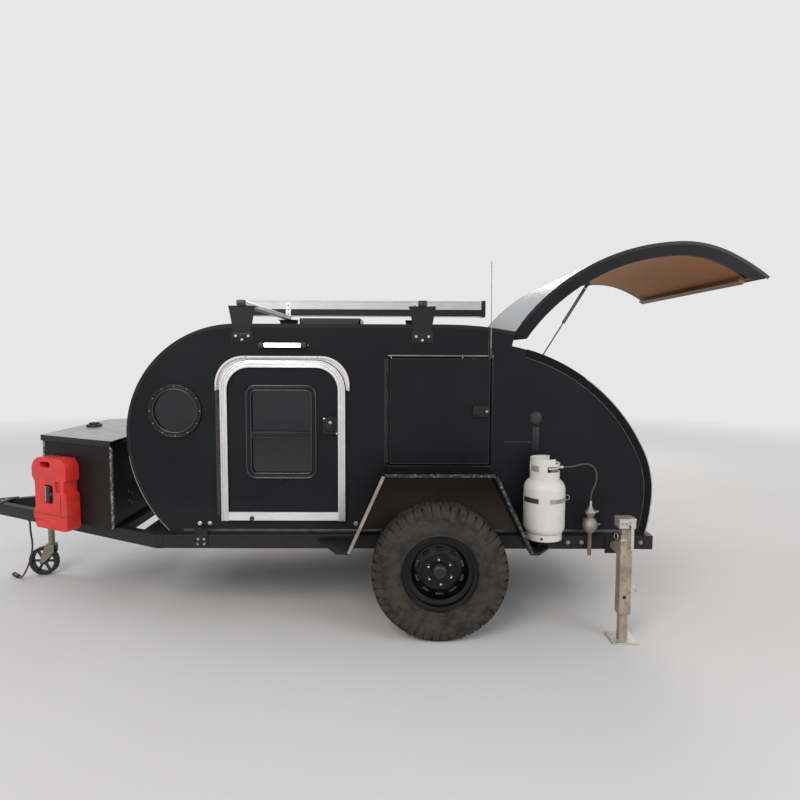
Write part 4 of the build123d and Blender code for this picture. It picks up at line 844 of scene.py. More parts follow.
# Wheels
TREAD_PITCHES = 23
CROWN = ((0.0, 0.381), (0.060, 0.3808), (0.084, 0.3772), (0.098, 0.3640))
TREAD_BLOCKS = (
    ((-0.050, 0.030), (-0.031, 0.036), (-0.014, 0.031), (-0.012, 0.052), (-0.030, 0.0545), (-0.049, 0.050)),
    ((-0.007, 0.031), (0.009, 0.027), (0.030, 0.032), (0.041, 0.029), (0.040, 0.050), (0.018, 0.0545),
     (-0.005, 0.051)),
    ((-0.046, 0.0035), (-0.024, 0.0075), (-0.022, 0.025), (-0.038, 0.029), (-0.048, 0.024)),
    ((-0.017, 0.0065), (0.006, 0.003), (0.016, 0.009), (0.014, 0.021), (-0.004, 0.025), (-0.015, 0.024)),
    ((0.022, 0.010), (0.040, 0.004), (0.050, 0.008), (0.047, 0.023), (0.030, 0.027), (0.021, 0.022)))
TYRE_WALL = [
    (0.1935, 0.064), (0.1935, 0.0775), (0.2075, 0.0795), (0.2125, 0.0905), (0.2185, 0.0965), (0.2225, 0.1025),
    (0.2265, 0.1035), (0.2295, 0.1015), (0.240, 0.1062), (0.258, 0.1098), (0.262, 0.1112), (0.266, 0.1104),
    (0.280, 0.1118), (0.300, 0.1126), (0.318, 0.1112), (0.338, 0.1056), (0.354, 0.0965), (0.364, 0.084),
    (0.3685, 0.060), (0.3690, 0.020)]
TYRE_INSIDE = [(0.345, 0.060), (0.330, 0.088), (0.285, 0.099), (0.240, 0.093), (0.212, 0.068)]


def on_tread(along, across, radius):
    """A place on the round of the tyre, at the top of a tyre about the origin."""
    return along, across, radius - along * along / (2 * TYRE_RADIUS)


def crown(w):
    """The radius of the tread face at a distance from the middle of the tyre."""
    for (w0, r0), (w1, r1) in zip(CROWN, CROWN[1:]):
        if abs(w) <= w1:
            return r0 + (r1 - r0) * (abs(w) - w0) / (w1 - w0)
    return CROWN[-1][1]


def tread_block(outline, depth=0.0125, draft=0.0016):
    """A block of tread whose outline is in length along the tread and width across it."""
    middle = Vector((sum(a for a, _ in outline), sum(w for _, w in outline))) / len(outline)
    rings = []
    for share, drop in ((-draft, depth), (0.0, 0.0015), (draft * 0.8, 0.0)):
        drawn = [Vector(p) + (middle - Vector(p)).normalized() * share for p in outline]
        rings.append([on_tread(a, w, crown(w) - drop) for a, w in drawn])
    return skin("tread_block", rings)


def shoulder_block(a0, a1, side, reach):
    """A lug that wraps over the shoulder and runs down the side wall to the radius reach."""
    low = 0.1158 - (0.3 - reach) * 0.02
    section = [(0.0575, 0.3805), (0.0835, 0.3768), (0.0975, 0.3645), (0.1065, 0.348), (0.1128, 0.325),
               (low, reach + 0.006), (low - 0.006, reach), (0.098, reach + 0.004), (0.088, 0.345), (0.0575, 0.364)]
    rings, middle = [], (a0 + a1) / 2
    for a, draft in ((a0, 0.0018), (a0, 0.0), (a1, 0.0), (a1, -0.0018)):
        shrink = 0.0016 if draft else 0.0
        rings.append([on_tread(middle + (a + draft - middle) * (1.0 - 0.22 * max(0.0, (0.36 - r) / 0.06)),
                               side * (w - shrink), r - shrink) for w, r in section])
    return skin("shoulder", rings)


def make_tyres():
    """All-terrain tyres: a carcass with side ribs, and blocks wrapped round its shoulders."""
    profile = TYRE_WALL + [(r, -w) for r, w in reversed(TYRE_WALL)] + [(r, -w) for r, w in reversed(TYRE_INSIDE)]
    carcass = spun(profile + TYRE_INSIDE, (0, 0, 0), (0, 1, 0), TYRE_RUBBER, 120, 28, True)
    pitch, parts = 2 * pi * TYRE_RADIUS / TREAD_PITCHES, []
    for side in (1, -1):
        for start, reach in ((-pitch / 2, 0.296), (0.0, 0.312)):
            parts.append(shoulder_block(start + 0.006, start - 0.0065 + pitch / 2, side, reach))
        parts += [tread_block([(a, side * w) for a, w in outline]) for outline in TREAD_BLOCKS]
    tread = grow(joined("tread_pitch", parts), REPEAT, Count=TREAD_PITCHES, Turn=(0.0, 2 * pi / TREAD_PITCHES, 0.0),
                 Material=TYRE_RUBBER)
    tyre = joined("tyre_tread_left", [carcass, tread])
    tyre.data.transform(Matrix.Translation(spot(*HUB)))
    fit_pair("tyre_tread", tyre, "tyre_black", "wheel", "tyre")


NUT_CIRCLE, FIRST_NUT = 0.06985, radians(-5.0)
NUT_PROFILE = [(0.0, -0.001), (0.0128, -0.001), (0.0128, 0.0145), (0.0112, 0.0165), (0.0112, 0.0205),
               (0.0095, 0.0245), (0.0055, 0.0272), (0.0, 0.028)]
CAP_PROFILE = [(0.0475, 0.020), (0.0475, 0.046), (0.0462, 0.049), (0.0452, 0.0495), (0.0440, 0.0535),
               (0.0385, 0.0605), (0.0335, 0.0632), (0.0300, 0.0640), (0.0285, 0.0652), (0.0265, 0.0660),
               (0.0240, 0.0650), (0.0120, 0.0655), (0.0, 0.0656)]
HUB_BEAD = [(0.0468, 0.0225), (0.0575, 0.0225), (0.0600, 0.0245), (0.0590, 0.0262), (0.0500, 0.0262),
            (0.0468, 0.0245)]
# Radius, height and thickness of the rims' rolled edges
RIM_LIPS = ((0.2075, 0.0905, 0.0032), (0.1885, 0.078, 0.0026), (0.1650, 0.0395, 0.0030), (0.1010, 0.0345, 0.0022))


def make_wheel_trim():
    """Bright nuts, a dull grease cap, lip beads and the valve on each wheel."""
    middle = (0, HUB.y, 0)
    nut = facing(smooth(turned(NUT_PROFILE, (0, 0, 0), UP, 12), 28), LEFT,
                 (NUT_CIRCLE * sin(FIRST_NUT), HUB.y - 0.019, NUT_CIRCLE * cos(FIRST_NUT)))
    parts = [grow(nut, REPEAT, Count=6, Turn=(0.0, pi / 3, 0.0), Material=STEEL_BRIGHT),
             spun(CAP_PROFILE, middle, LEFT, CAP_GREY, 48, 30),
             spun(HUB_BEAD, middle, LEFT, WHEEL_BLACK, 60, 40, True),
             pipe("valve", [(r, HUB.y - out, -r) for r, out in ((0.118, 0.012), (0.122, 0.034), (0.126, 0.046))],
                  0.0042, SOFT_BLACK)]
    parts += [ring_of(radius, thick, middle, LEFT, WHEEL_BLACK, 96, 10, out) for radius, out, thick in RIM_LIPS]
    trim = joined("wheel_trim_left", parts)
    trim.data.transform(Matrix.Translation(spot(HUB.x, 0, HUB.z)))
    fit_pair("wheel_trim", trim, "wheel_black", "wheel")


def on_side(outline, proud, back, finish, edge=0.0):
    """A flat part between two distances out from the left side."""
    return plate(outline, FACE_Y - proud, FACE_Y - back, finish, edge)


def side_bar(x, z, proud, back, finish, edge=0.0, segments=2):
    """A straight part between two distances out from the left side."""
    return block(x, (FACE_Y - proud, FACE_Y - back), z, finish, edge, segments)


def beside(proud, *points):
    """Places at one distance out from the left side, from their x and z."""
    return [(x, FACE_Y - proud, z) for x, z in points]


def along_side(section, x0, x1, finish, angle):
    """A section of (distance out from the left side, z), run along it."""
    return painted(smooth(prism("run", [(FACE_Y - out, z) for out, z in section], x0, x1, "x"), angle), finish)


# Body trims
def make_body_trims():
    """Edge angles round both sides, the seal under the hatch, and a line along the floor."""
    low = RAIL_TOP + 0.012
    nose = above(nose_points(0.0, 3.0), low)
    angle = ((0.0, 0.006), (-0.0022, 0.006), (-0.0022, -0.0022), (0.020, -0.0022), (0.020, 0.0), (0.0, 0.0))
    low_nose = [point for point in nose if point[1] < 1.02 and point[0] < 0.6]
    fit_pair("nose_trim", [strip("nose_angle", nose, angle, TRIM_BLACK),
                           strip("nose_bead", low_nose, circle(0.0016, 8, 0.0, -0.0012), EDGE_LINE)], "bright_trim")
    rear = above(hatch_points(WALL_INSET, 2.5), low)[1:]
    low_rear = [point for point in rear if point[1] < 1.47]
    seal = ((0.042, 0.0), (0.042, -0.004), (-0.0005, -0.004), (-0.0030, -0.002), (-0.0038, 0.004), (-0.0038, 0.018),
            (-0.0025, 0.026), (0.0, 0.026), (0.0, 0.0))
    rim = ((0.0012, -0.0048), (-0.0042, -0.0048), (-0.0042, 0.0030), (0.0012, 0.0030))
    line = ((0.046, -0.0035), (0.043, -0.0035), (0.043, 0.0), (0.046, 0.0))
    fit_pair("hatch_seal", [strip("seal", rear, seal, EDGE_BLACK), strip("rim", low_rear, rim, EDGE_LINE),
                            strip("line", rear, line, BODY_EDGE)], "rubber_black")
    fit_pair("floor_line", side_bar((0.315, 2.93), (RAIL_TOP + 0.003, RAIL_TOP + 0.022), 0.0025, 0.0, BODY_EDGE,
                                    0.0008), "frame_black")


def arch(x0, x1, z0, z1, radius, steps):
    """Up one side, round the two top corners and down the other, as an open run."""
    points = [(x0, z0)]
    for cx, start in ((x0 + radius, 180), (x1 - radius, 90)):
        for n in range(steps + 1):
            angle = radians(start - 90.0 * n / steps)
            points.append((cx + radius * cos(angle), z1 - radius + radius * sin(angle)))
    return points + [(x1, z0)]


def ring_band(first, second, proud, back, finish, edge=0.0):
    """A flat band of the door's edge ring between two insets, open at the foot."""
    runs = []
    for inset in (first, second):
        x0, x1, _, z1 = grown(DOOR_RING, -inset)
        runs.append(arch(x0, x1, DOOR_RING[2], z1, 0.170 - inset, 12))
    band = prism("band", runs[0] + runs[1][::-1], FACE_Y - proud, FACE_Y - back)
    return painted(soften(band, edge, 2, 50) if edge else band, finish)


def make_doors():
    """The bright edge ring with its groove, the sill, seals, window beads and the latch."""
    parts = [ring_band(first, second, proud, 0.0175, DOOR_SILVER, 0.0009) for first, second, proud in (
        (0.0, 0.0095, 0.0245), (0.0105, 0.0245, 0.0222), (0.0255, 0.0410, 0.0252))]
    sill = ((0.0175, 0.6135), (0.0238, 0.6150), (0.0248, 0.6190), (0.0230, 0.6420), (0.0255, 0.6440),
            (0.0255, 0.6600), (0.0175, 0.6660))
    parts += [ring_band(0.0, 0.0410, 0.0205, 0.0190, SOFT_BLACK), along_side(sill, 0.5865, 1.2235, SILL_BRIGHT, 25)]
    fit_pair("door_ring", parts, "door_silver", "entry_door")

    parts = [bead(grown(DOOR_LEAF, 0.0035), 0.1345, 0.0035, SOFT_BLACK, 0.0165, 10, 0.0165)]
    for inset, thick, proud, finish in ((0.0040, 0.0045, 0.0195, FRAME_GREY), (0.0300, 0.0036, 0.0188, FRAME_GREY),
                                        (0.0150, 0.0028, 0.0205, TRIM_BLACK)):
        parts.append(bead(grown(WINDOW, -inset), 0.060 - inset, thick, finish, proud))
    x0, x1 = WINDOW[:2]
    parts.append(side_bar((x0 + 0.026, x1 - 0.026), (1.1015, 1.1325), 0.0195, 0.0150, TRIM_BLACK, 0.0016))
    for z in (1.1000, 1.1335):
        parts.append(side_bar((x0 + 0.030, x1 - 0.030), (z - 0.0016, z + 0.0016), 0.0205, 0.0155, FRAME_GREY, 0.0007))
    parts.append(side_bar((0.889, 0.905), (0.846, 0.864), 0.026, 0.018, TRIM_BLACK, 0.002))
    fit_pair("door_window", parts, "door_black", "entry_door")

    lips = zip(rounded(1.1475, 1.2125, 1.132, 1.208, 0.012), rounded(1.1525, 1.2075, 1.137, 1.203, 0.008))
    cup = skin("cup", [[spot(x, FACE_Y - out, z) for (x, z), out in (
        (outer, 0.0290), (inner, 0.0290), (inner, 0.0255), (outer, 0.0255))] for outer, inner in lips], True)
    lock = [(0, 0), (0.0095, 0), (0.0095, 0.0035), (0.0075, 0.0048), (0.003, 0.0048), (0.003, 0.0030), (0.0, 0.0030)]
    sill_lock = [(0, 0), (0.0135, 0), (0.0135, 0.0045), (0.0105, 0.0065), (0, 0.0065)]
    fit_pair("door_latch", [
        on_side(rounded(1.1375, 1.2225, 1.1205, 1.2195, 0.010), 0.0262, 0.0235, TRIM_BLACK, 0.0010),
        painted(smooth(cup), TRIM_BLACK),
        on_side(rounded(1.1550, 1.2050, 1.1400, 1.1740, 0.006, 0.010), 0.0325, 0.0262, TRIM_BLACK, 0.0020),
        spun(lock, spot(1.180, FACE_Y - 0.0260, 1.190), LEFT, STEEL_DULL),
        set_out(screw(0.0055, 0.0030), beside(0.0262, (1.1435, 1.2130), (1.2165, 1.1270)), STEEL_BRIGHT),
        spun(sill_lock, spot(0.722, FACE_Y - 0.0240, 0.6270), LEFT, PLASTIC_BLACK)], "door_black", "entry_door")


def make_door_surrounds():
    """What stays on the wall round the doors: the drip cap's screws and flange, and the store trim."""
    places = beside(0.0265, (0.700, 1.566), (1.110, 1.566), (0.525, 1.390), (1.285, 1.390))
    flange = arch(0.529, 1.281, 1.376, 1.562, 0.156, 14) + arch(0.5415, 1.2685, 1.376, 1.5495, 0.1725, 14)[::-1]
    fit_pair("drip_cap_screws", [set_out(screw(0.0040, 0.0022), places, STEEL_DULL),
                                 on_side(flange, 0.0060, 0.0015, DOOR_SILVER)], "bright_trim")
    x0, x1, z0, z1 = STORE_CUT
    # The top strip is lighter than the black side and foot strips: a painted highlight along the trim's upper edge
    fit_pair("store_trim", [side_bar(x, z, 0.0042, 0.0, finish, 0.0012) for x, z, finish in (
        ((x0 - 0.002, x1 + 0.010), (z1 + 0.0015, z1 + 0.0095), STORE_TOP_HIGHLIGHT),
        ((x1 + 0.002, x1 + 0.010), (z0 - 0.010, z1 + 0.0015), TRIM_BLACK),
        ((x0 - 0.002, x1 + 0.002), (z0 - 0.010, z0 - 0.002), TRIM_BLACK))], "door_black")


def make_store_door():
    """A shallow bead round the leaf and the slam latch."""
    path = rounded(*grown(STORE_CUT, -0.012), 0.006)
    section = [(across, out * 0.867) for across, out in circle(0.0030)]
    lock = [(0, 0), (0.0080, 0), (0.0080, 0.0030), (0.0065, 0.0042), (0, 0.0042)]
    fit_pair("store_latch", [
        painted(smooth(moulding("bead", path, section, True, FACE_Y - 0.0052), 60), HINGE_DARK),
        on_side(rounded(2.0035, 2.0965, 1.2240, 1.2880, 0.008), 0.0162, 0.0135, TRIM_BLACK, 0.0010),
        on_side(rounded(2.0110, 2.0680, 1.2330, 1.2600, 0.005, 0.008), 0.0210, 0.0160, TRIM_BLACK, 0.0016),
        spun(lock, spot(2.0820, FACE_Y - 0.0160, 1.2560), LEFT, STEEL_DULL)], "door_black", "storage_door")


def make_portholes():
    """Thin lines and screws on the round nose windows."""
    x, z = PORTHOLE = (0.283, 1.253)
    parts = [ring_of(radius, thick, spot(x, FACE_Y, z), LEFT, finish, 96, 8, proud)
             for radius, proud, thick, finish in (
                 (0.1500, 0.0142, 0.0026, PORT_LINE), (0.1260, 0.0142, 0.0034, FRAME_GREY),
                 (0.1385, 0.0145, 0.0016, TRIM_BLACK))]
    parts.append(set_out(screw(0.0036, 0.0020), beside(0.0138, *circle(0.144, 12, *PORTHOLE)), STEEL_DULL))
    fit_pair("porthole_beads", parts, "door_black")


def make_porch_lights():
    """A lit lens between two dark end caps on each housing."""
    section = ((0.0180, 1.6205), (0.0262, 1.6225), (0.0305, 1.6280), (0.0312, 1.6360), (0.0280, 1.6430),
               (0.0220, 1.6458), (0.0180, 1.6460))
    fit_pair("porch_lens", [along_side(section, 0.806, 1.012, LENS_LIT, 50)], "lamp_lens")
    parts = [side_bar((x, x + 0.032), (1.6170, 1.6490), 0.0325, 0.004, PLASTIC_BLACK, 0.004, 3)
             for x in (0.774, 1.012)]
    parts += [side_bar((x, x + 0.014), (1.6250, 1.6410), 0.007, 0.0, PLASTIC_BLACK, 0.002)
              for x in (0.764, 1.044)]
    parts.append(set_out(screw(0.0040, 0.0025), beside(0.007, (0.771, 1.633), (1.051, 1.633)), STEEL_DULL))
    fit_pair("porch_caps", parts, "frame_black")


def make_side_fittings():
    """The thin mast on the left side and the capped round inlet behind it."""
    x, y = 2.1015, FACE_Y - 0.010
    base = [(0, -0.030), (0.0085, -0.030), (0.0095, 0.0), (0.0070, 0.022), (0.0040, 0.030), (0, 0.030)]
    fit("side_mast", [
        pipe("mast", [spot(x, y, 1.560), spot(x, y, 1.800), spot(x - 0.003, y, 2.113)], 0.0028, STEEL_DULL),
        spun(base, spot(x, y, 1.590), UP, PLASTIC_BLACK, 20),
        side_bar((x - 0.014, x + 0.014), (1.556, 1.574), 0.012, 0.0, PLASTIC_BLACK, 0.002)], "door_black")
    inlet = [(0.0, 0.019), (0.020, 0.0185), (0.029, 0.016), (0.0305, 0.012), (0.0305, 0.006), (0.036, 0.0055),
             (0.038, 0.003), (0.038, 0.0), (0.0, 0.0)]
    fit("side_inlet", spun(inlet, spot(2.368, FACE_Y, 1.218), LEFT, PLASTIC_BLACK, 48), "door_black")


def make_lower_bolts():
    """Bright bolts along the foot of the walls and on the rail brackets."""
    rail_places = [(x, RAIL_Y, z) for x in (0.415, 0.449) for z in (0.484, 0.512)]
    rail_places += [(x, RAIL_Y, 0.497) for x in (2.560, 2.640, 2.905, 2.985)]
    wall_places = beside(0.002, (0.4120, 0.592), (0.4700, 0.592), (1.3250, 0.592))
    fit_pair("lower_bolts", [set_out(bolt(0.0095, 0.0075), wall_places, STEEL_BRIGHT),
                             set_out(bolt(0.0090, 0.0075), rail_places, STEEL_DULL)], "bright_trim")


# Fenders, step and toolbox. Tread plate: pitch, length, width and rise of its lozenges
FENDER = ((1.311, 0.505), (1.500, 0.928), (2.093, 0.928), (2.294, 0.505))
FENDER_TREAD, BOX_TREAD = (0.020, 0.0105, 0.0032, 0.0013), (0.0235, 0.0118, 0.0036, 0.0015)
LID_TREAD = (0.0310, 0.0160, 0.0050, 0.0022)
BOX_FRONT, BOX_REAR, BOX_TOP, LID_TOP = Vector((-0.675, 0.437)), Vector((-0.118, 0.712)), 1.058, 1.067
BOX_RUN = BOX_REAR - BOX_FRONT
BOX_HEADING = atan2(BOX_RUN.y, BOX_RUN.x)
BOX_SLOPE = BOX_RUN.y / BOX_RUN.x


def oblong(length, width):
    return [(-length / 2, -width / 2), (length / 2, -width / 2), (length / 2, width / 2), (-length / 2, width / 2)]


def plated(outline, tread, rows, finish, place):
    """A thin sheet with raised lozenges, drawn flat in x and y, then put in its place by a matrix."""
    pitch, length, width, rise = tread
    sheet = grow(prism("sheet", outline, -0.0012, 0.0, "flat"), TREAD_PLATE, Pitch=pitch, Length=length, Width=width,
                 Rise=rise, Rows=rows, Material=finish)
    sheet.data.transform(place)
    return smooth(sheet, 20)


def make_fenders():
    """Bright and black edge angles, the plate on the top and the steps, and a brown sheet in the arch whose colour is
    a painted reflection of the ground on the black wall.
    """
    angle = ((0.0008, -0.0012), (0.0008, 0.016), (-0.0012, 0.016), (-0.0012, 0.0006), (-0.016, 0.0006),
             (-0.016, -0.0012))
    finishes = (FENDER_EDGE, SCUFFED_BLACK, SCUFFED_BLACK)
    fit_pair("fender_edges", [strip("angle", ends, angle, finish, FENDER_Y)
                              for *ends, finish in zip(FENDER, FENDER[1:], finishes)], "bright_trim")
    top_front, top_rear = FENDER[1:3]
    top = oblong(top_rear[0] - top_front[0] - 0.012, FACE_Y - FENDER_Y - 0.014)
    sheets = [plated(top, FENDER_TREAD, 30, PLATE_BLACK, Matrix.Translation(
        spot((top_front[0] + top_rear[0]) / 2, (FENDER_Y + FACE_Y) / 2, top_front[1] + 0.0014)))]
    for points in (((1.107, RAIL_Y), (1.240, -1.055), (1.311, -1.055), (1.311, RAIL_Y)),
                   ((2.294, RAIL_Y), (2.294, -1.055), (2.338, -1.055), (2.511, RAIL_Y))):
        cx, cy = sum(x for x, _ in points) / 4, sum(y for _, y in points) / 4
        sheets.append(plated([((x - cx) * 0.96, (y - cy) * 0.97) for x, y in points], FENDER_TREAD, 16, PLATE_BLACK,
                             Matrix.Translation(spot(cx, cy, 0.5163))))
    fit_pair("fender_plates", sheets, "tread_plate")
    # A thin brown sheet on the wall inside the arch: its colour is a painted reflection of the ground
    reflection_outline = [(1.330, RAIL_TOP + 0.004), (1.502, 0.920), (2.091, 0.920), (2.276, RAIL_TOP + 0.004)]
    fit_pair("arch_liner", on_side(reflection_outline, 0.0022, 0.0002, ARCH_REFLECTION_AND_DUST), "frame_black")


def box_corner(grow_by, at_rear):
    """How far forward and out a corner of the box is, grown all round."""
    x = BOX_REAR.x + grow_by if at_rear else BOX_FRONT.x - grow_by
    return x, BOX_FRONT.y + (x - BOX_FRONT.x) * BOX_SLOPE + grow_by * hypot(1, BOX_SLOPE)


def facing_out(place, along, out):
    """The matrix of a sheet that stands upright at a place."""
    return Matrix.Translation(place + out * 0.0014) @ Matrix((along, Vector(UP), out)).transposed().to_4x4()


def make_toolbox():
    """Tread plate on the lid and round the box, worn corner angles and the lid latch."""
    (x0, y0), (x1, y1) = box_corner(0.008, False), box_corner(0.008, True)
    half = (x1 - x0) / 2
    lid = plated([(-half, -y0), (half, -y1), (half, y1), (-half, y0)], LID_TREAD, 48, PLATE_BRIGHT,
                 Matrix.Translation(spot(x0 + half, 0, LID_TOP + 0.0012)))
    lid.data.materials.append(LOZENGE_BRIGHT)
    for face in lid.data.polygons:
        if face.center.z > LID_TOP + 0.0018:
            face.material_index = 1
    latch = plate(rounded(-0.587, -0.507, -0.082, 0.003, 0.012), LID_TOP + 0.001, LID_TOP + 0.022, PLASTIC_BLACK,
                  0.004, 3, "z")
    paddle = plate(rounded(-0.574, -0.520, -0.069, -0.010, 0.010), LID_TOP + 0.021, LID_TOP + 0.034, PLASTIC_BLACK,
                   0.003, 3, "z")
    fit("lid_tread", [lid, latch, paddle], "lid_plate", "toolbox_lid")

    high, middle = BOX_TOP - 0.032 - RAIL_TOP, (BOX_FRONT + BOX_REAR) / 2
    z = RAIL_TOP + 0.001 + high / 2
    near = plated(oblong(BOX_RUN.length - 0.002, high), BOX_TREAD, 32, PLATE_BLACK, facing_out(
        spot(middle.x, -middle.y, z), Vector((cos(BOX_HEADING), -sin(BOX_HEADING), 0)),
        Vector((-sin(BOX_HEADING), -cos(BOX_HEADING), 0))))
    front = plated(oblong(2 * BOX_FRONT.y - 0.002, high), BOX_TREAD, 38, PLATE_BLACK, facing_out(
        spot(BOX_FRONT.x, 0, z), Vector(LEFT), Vector((-1, 0, 0))))
    fit("box_tread", [near, mirror_copy(near, "far"), front], "tread_plate")

    parts, length, thick = [], 0.018, 0.0016
    for at_rear, inwards in ((False, 1), (True, -1)):
        x, y = box_corner(0.0020, at_rear)
        for sign in (-1, 1):
            end = (x + inwards * length * cos(BOX_HEADING), sign * (y + inwards * length * sin(BOX_HEADING)))
            corner = [(x + inwards * thick, sign * (y - thick)), (x, sign * (y - length)),
                      (x - inwards * 0.0006, sign * (y - length)), (x - inwards * 0.0006, sign * (y + 0.0006)),
                      end, (end[0], end[1] - sign * thick)]
            parts.append(plate(corner, RAIL_TOP + 0.002, BOX_TOP - 0.028, EDGE_WORN, across="z"))
    fit("box_corners", parts, "tread_plate")
    places = [(BOX_REAR.x, sign * y, z) for sign in (-1, 1)
              for y, z in ((0.455, 0.700), (0.495, 0.718), (0.495, 0.660), (0.455, 0.640))]
    fit("box_bolts", set_out(bolt(0.0065, 0.0050), places, STEEL_DULL, (1, 0, 0)), "bright_trim")


# Fuel can, drawn in its length and height, with its depth out of the box
CAN_LENGTH, CAN_DEPTH, CAN_FOOT, CAN_HEIGHT = 0.318, 0.090, 0.505, 0.440


def cut(obj, tools):
    """Takes the tools away from a solid."""
    for tool in tools:
        boolean = obj.modifiers.new("cut", "BOOLEAN")
        boolean.operation, boolean.solver, boolean.object = "DIFFERENCE", "EXACT", tool
        settle(obj)
        bpy.data.objects.remove(tool)
    return outward(obj, 1e-5)


def make_can():
    """A flat moulded fuel can with a handle slot, side grips, raised panels and its knob."""
    high, wide, deep = CAN_HEIGHT, CAN_LENGTH, CAN_DEPTH
    outline = [(0.006, 0.062), (0.018, 0.050), (0.020, 0.022), (0.034, 0.0), (wide - 0.020, 0.0), (wide, 0.020),
               (wide, 0.222), (wide - 0.022, 0.240), (wide - 0.022, 0.298), (wide, 0.316), (wide, 0.400),
               (wide - 0.036, high), (0.062, high), (0.024, high - 0.022), (0.0, high - 0.060), (0.0, 0.322),
               (0.026, 0.288), (0.026, 0.128), (0.006, 0.106)]
    handle = [(0.130 + end * 0.030 + end * 0.018 * cos(a), high - 0.042 + end * 0.018 * sin(a))
              for end in (1, -1) for a in (radians(-90 + 22.5 * n) for n in range(9))]
    # Hollows: outline, and how deep they go; the handle goes right through
    hollows = ((handle, deep + 0.01), (rounded(0.218, 0.270, 0.236, 0.302, 0.016, None, 5), 0.012),
               (rounded(0.118, 0.196, 0.160, 0.276, 0.016, None, 5), 0.026),
               ([(0.012, 0.096), (0.020, 0.088), (wide + 0.01, 0.088), (wide + 0.01, 0.094), (0.022, 0.094),
                 (0.014, 0.102)], 0.004),
               ([(0.020, 0.050), (0.150, 0.044), (0.150, 0.049), (0.020, 0.055)], 0.004),
               ([(0.262, 0.094), (0.267, 0.094), (0.267, 0.220), (0.262, 0.220)], 0.004))
    body = cut(prism("can", outline, 0.0, deep, "can"),
               [prism("hollow", shape, deep - depth, deep + 0.02, "can") for shape, depth in hollows])
    parts = [painted(smooth(settle(bevelled(body, 0.0075, 4, 35)), 45), CAN_RED)]
    parts.append(plate(rounded(0.048, 0.232, 0.006, 0.040, 0.006), deep - 0.002, deep + 0.0022, CAN_RED, 0.002, 2,
                       "can"))
    parts.append(spun([(0, 0), (0.024, 0), (0.024, 0.012), (0.021, 0.016), (0, 0.016)],
                      (0.262, -deep / 2, high - 0.020), (0.55, 0, 0.83), CAN_RED))
    parts.append(spun([(0, 0), (0.013, 0), (0.013, 0.020), (0, 0.020)], (0.156, -deep + 0.026, 0.218), LEFT,
                      PLASTIC_BLACK, 20))
    for shape, back, proud, edge, segments, finish in (
            (rounded(0.132, 0.168, 0.168, 0.268, 0.012, None, 5), 0.010, 0.006, 0.005, 3, PLASTIC_BLACK),
            (rounded(0.162, 0.188, 0.206, 0.232, 0.008), 0.010, 0.003, 0.003, 3, PLASTIC_BLACK),
            (rounded(0.122, 0.130, 0.172, 0.264, 0.003, None, 3), 0.020, 0.001, 0.001, 2, STEEL_BRIGHT)):
        parts.append(plate(shape, deep - back, deep + proud, finish, edge, segments, "can"))
    can = joined("fuel_can_body", parts)
    along, out = 0.020, 0.006
    place = spot(BOX_FRONT.x + along * cos(BOX_HEADING) - out * sin(BOX_HEADING),
                 -BOX_FRONT.y - along * sin(BOX_HEADING) - out * cos(BOX_HEADING), CAN_FOOT)
    can.data.transform(Matrix.Translation(place) @ Matrix.Rotation(-BOX_HEADING, 4, "Z"))
    fit("fuel_can_body", can, "can_red", "trailer", "jerry_can")


# Second finishes on faces of the nodes
BAR_X, BAR_BOTTOM = (0.676, 1.708), 1.857
HATCH_OUTER = hatch_points(0.0, 1.0)


def depth_in_hatch(middle):
    """How deep a place is under the outer face of the hatch."""
    place = Vector(swung(middle.x, middle.z, -HATCH_OPEN))
    depth = 9.0
    for before, after in zip(HATCH_OUTER, HATCH_OUTER[1:]):
        before, run = Vector(before), Vector(after) - Vector(before)
        share = max(0.0, min(1.0, (place - before).dot(run) / run.length_squared))
        depth = min(depth, (place - before - run * share).length)
    return depth


def low_on_hatch(middle):
    return swung(middle.x, middle.z, -HATCH_OPEN)[1] < 0.648


# Node, finish, and the faces that get it, by their middle and their normal
FACE_FINISHES = (
    # The outer skin of the hatch gets the grey painted sky reflection
    ("hatch", HATCH_SKY_REFLECTION, lambda m, n: depth_in_hatch(m) < 0.004 and abs(n.y) < 0.5),
    ("hatch_lining", BAR_BROWN, lambda m, n: low_on_hatch(m) and depth_in_hatch(m) > 0.0785),
    ("hatch_lining", TRIM_BLACK, lambda m, n: not low_on_hatch(m) and depth_in_hatch(m) > 0.0785
     and 0.680 < abs(m.y) < 0.725),
    ("hatch_lining", SOFT_BLACK, lambda m, n: hypot(m.x - HINGE_X, m.z - HINGE_Z) < 0.150),
    ("awning", AWNING_BLACK, lambda m, n: m.x < 0.3205 or m.x > 2.2515),
    ("awning", BAR_SILVER, lambda m, n: m.y < 0.7385 and min(abs(m.x - x) for x in BAR_X) < 0.021),
    ("door_frames", HINGE_WORN, lambda m, n: m.x < 0.546 and m.z < 1.375),
    ("door_frames", HINGE_DARK, lambda m, n: m.x > 1.45),
    ("gas_regulator", PIPE_RUST, lambda m, n: m.z < 0.5665 and m.x < 2.70),
    ("gas_regulator", BOTTLE_WHITE, lambda m, n: m.z > 0.900),
    ("gas_regulator", STEEL_BRIGHT, lambda m, n: 0.7225 < m.z < 0.760),
    ("jockey_wheel", SOFT_BLACK, lambda m, n: hypot(m.x - JOCKEY.x, m.z - JOCKEY.z) > 0.0775),
    ("rear_jack*", JACK_HEAD, lambda m, n: m.z > 0.6395),
    ("rear_jack*", STEEL_BRIGHT, lambda m, n: abs(m.y) > 1.0195),
    ("rear_leg*", JACK_HEAD, lambda m, n: m.z < 0.009),
    ("entry_door*", HINGE_WORN, lambda m, n: m.x < 0.5445))


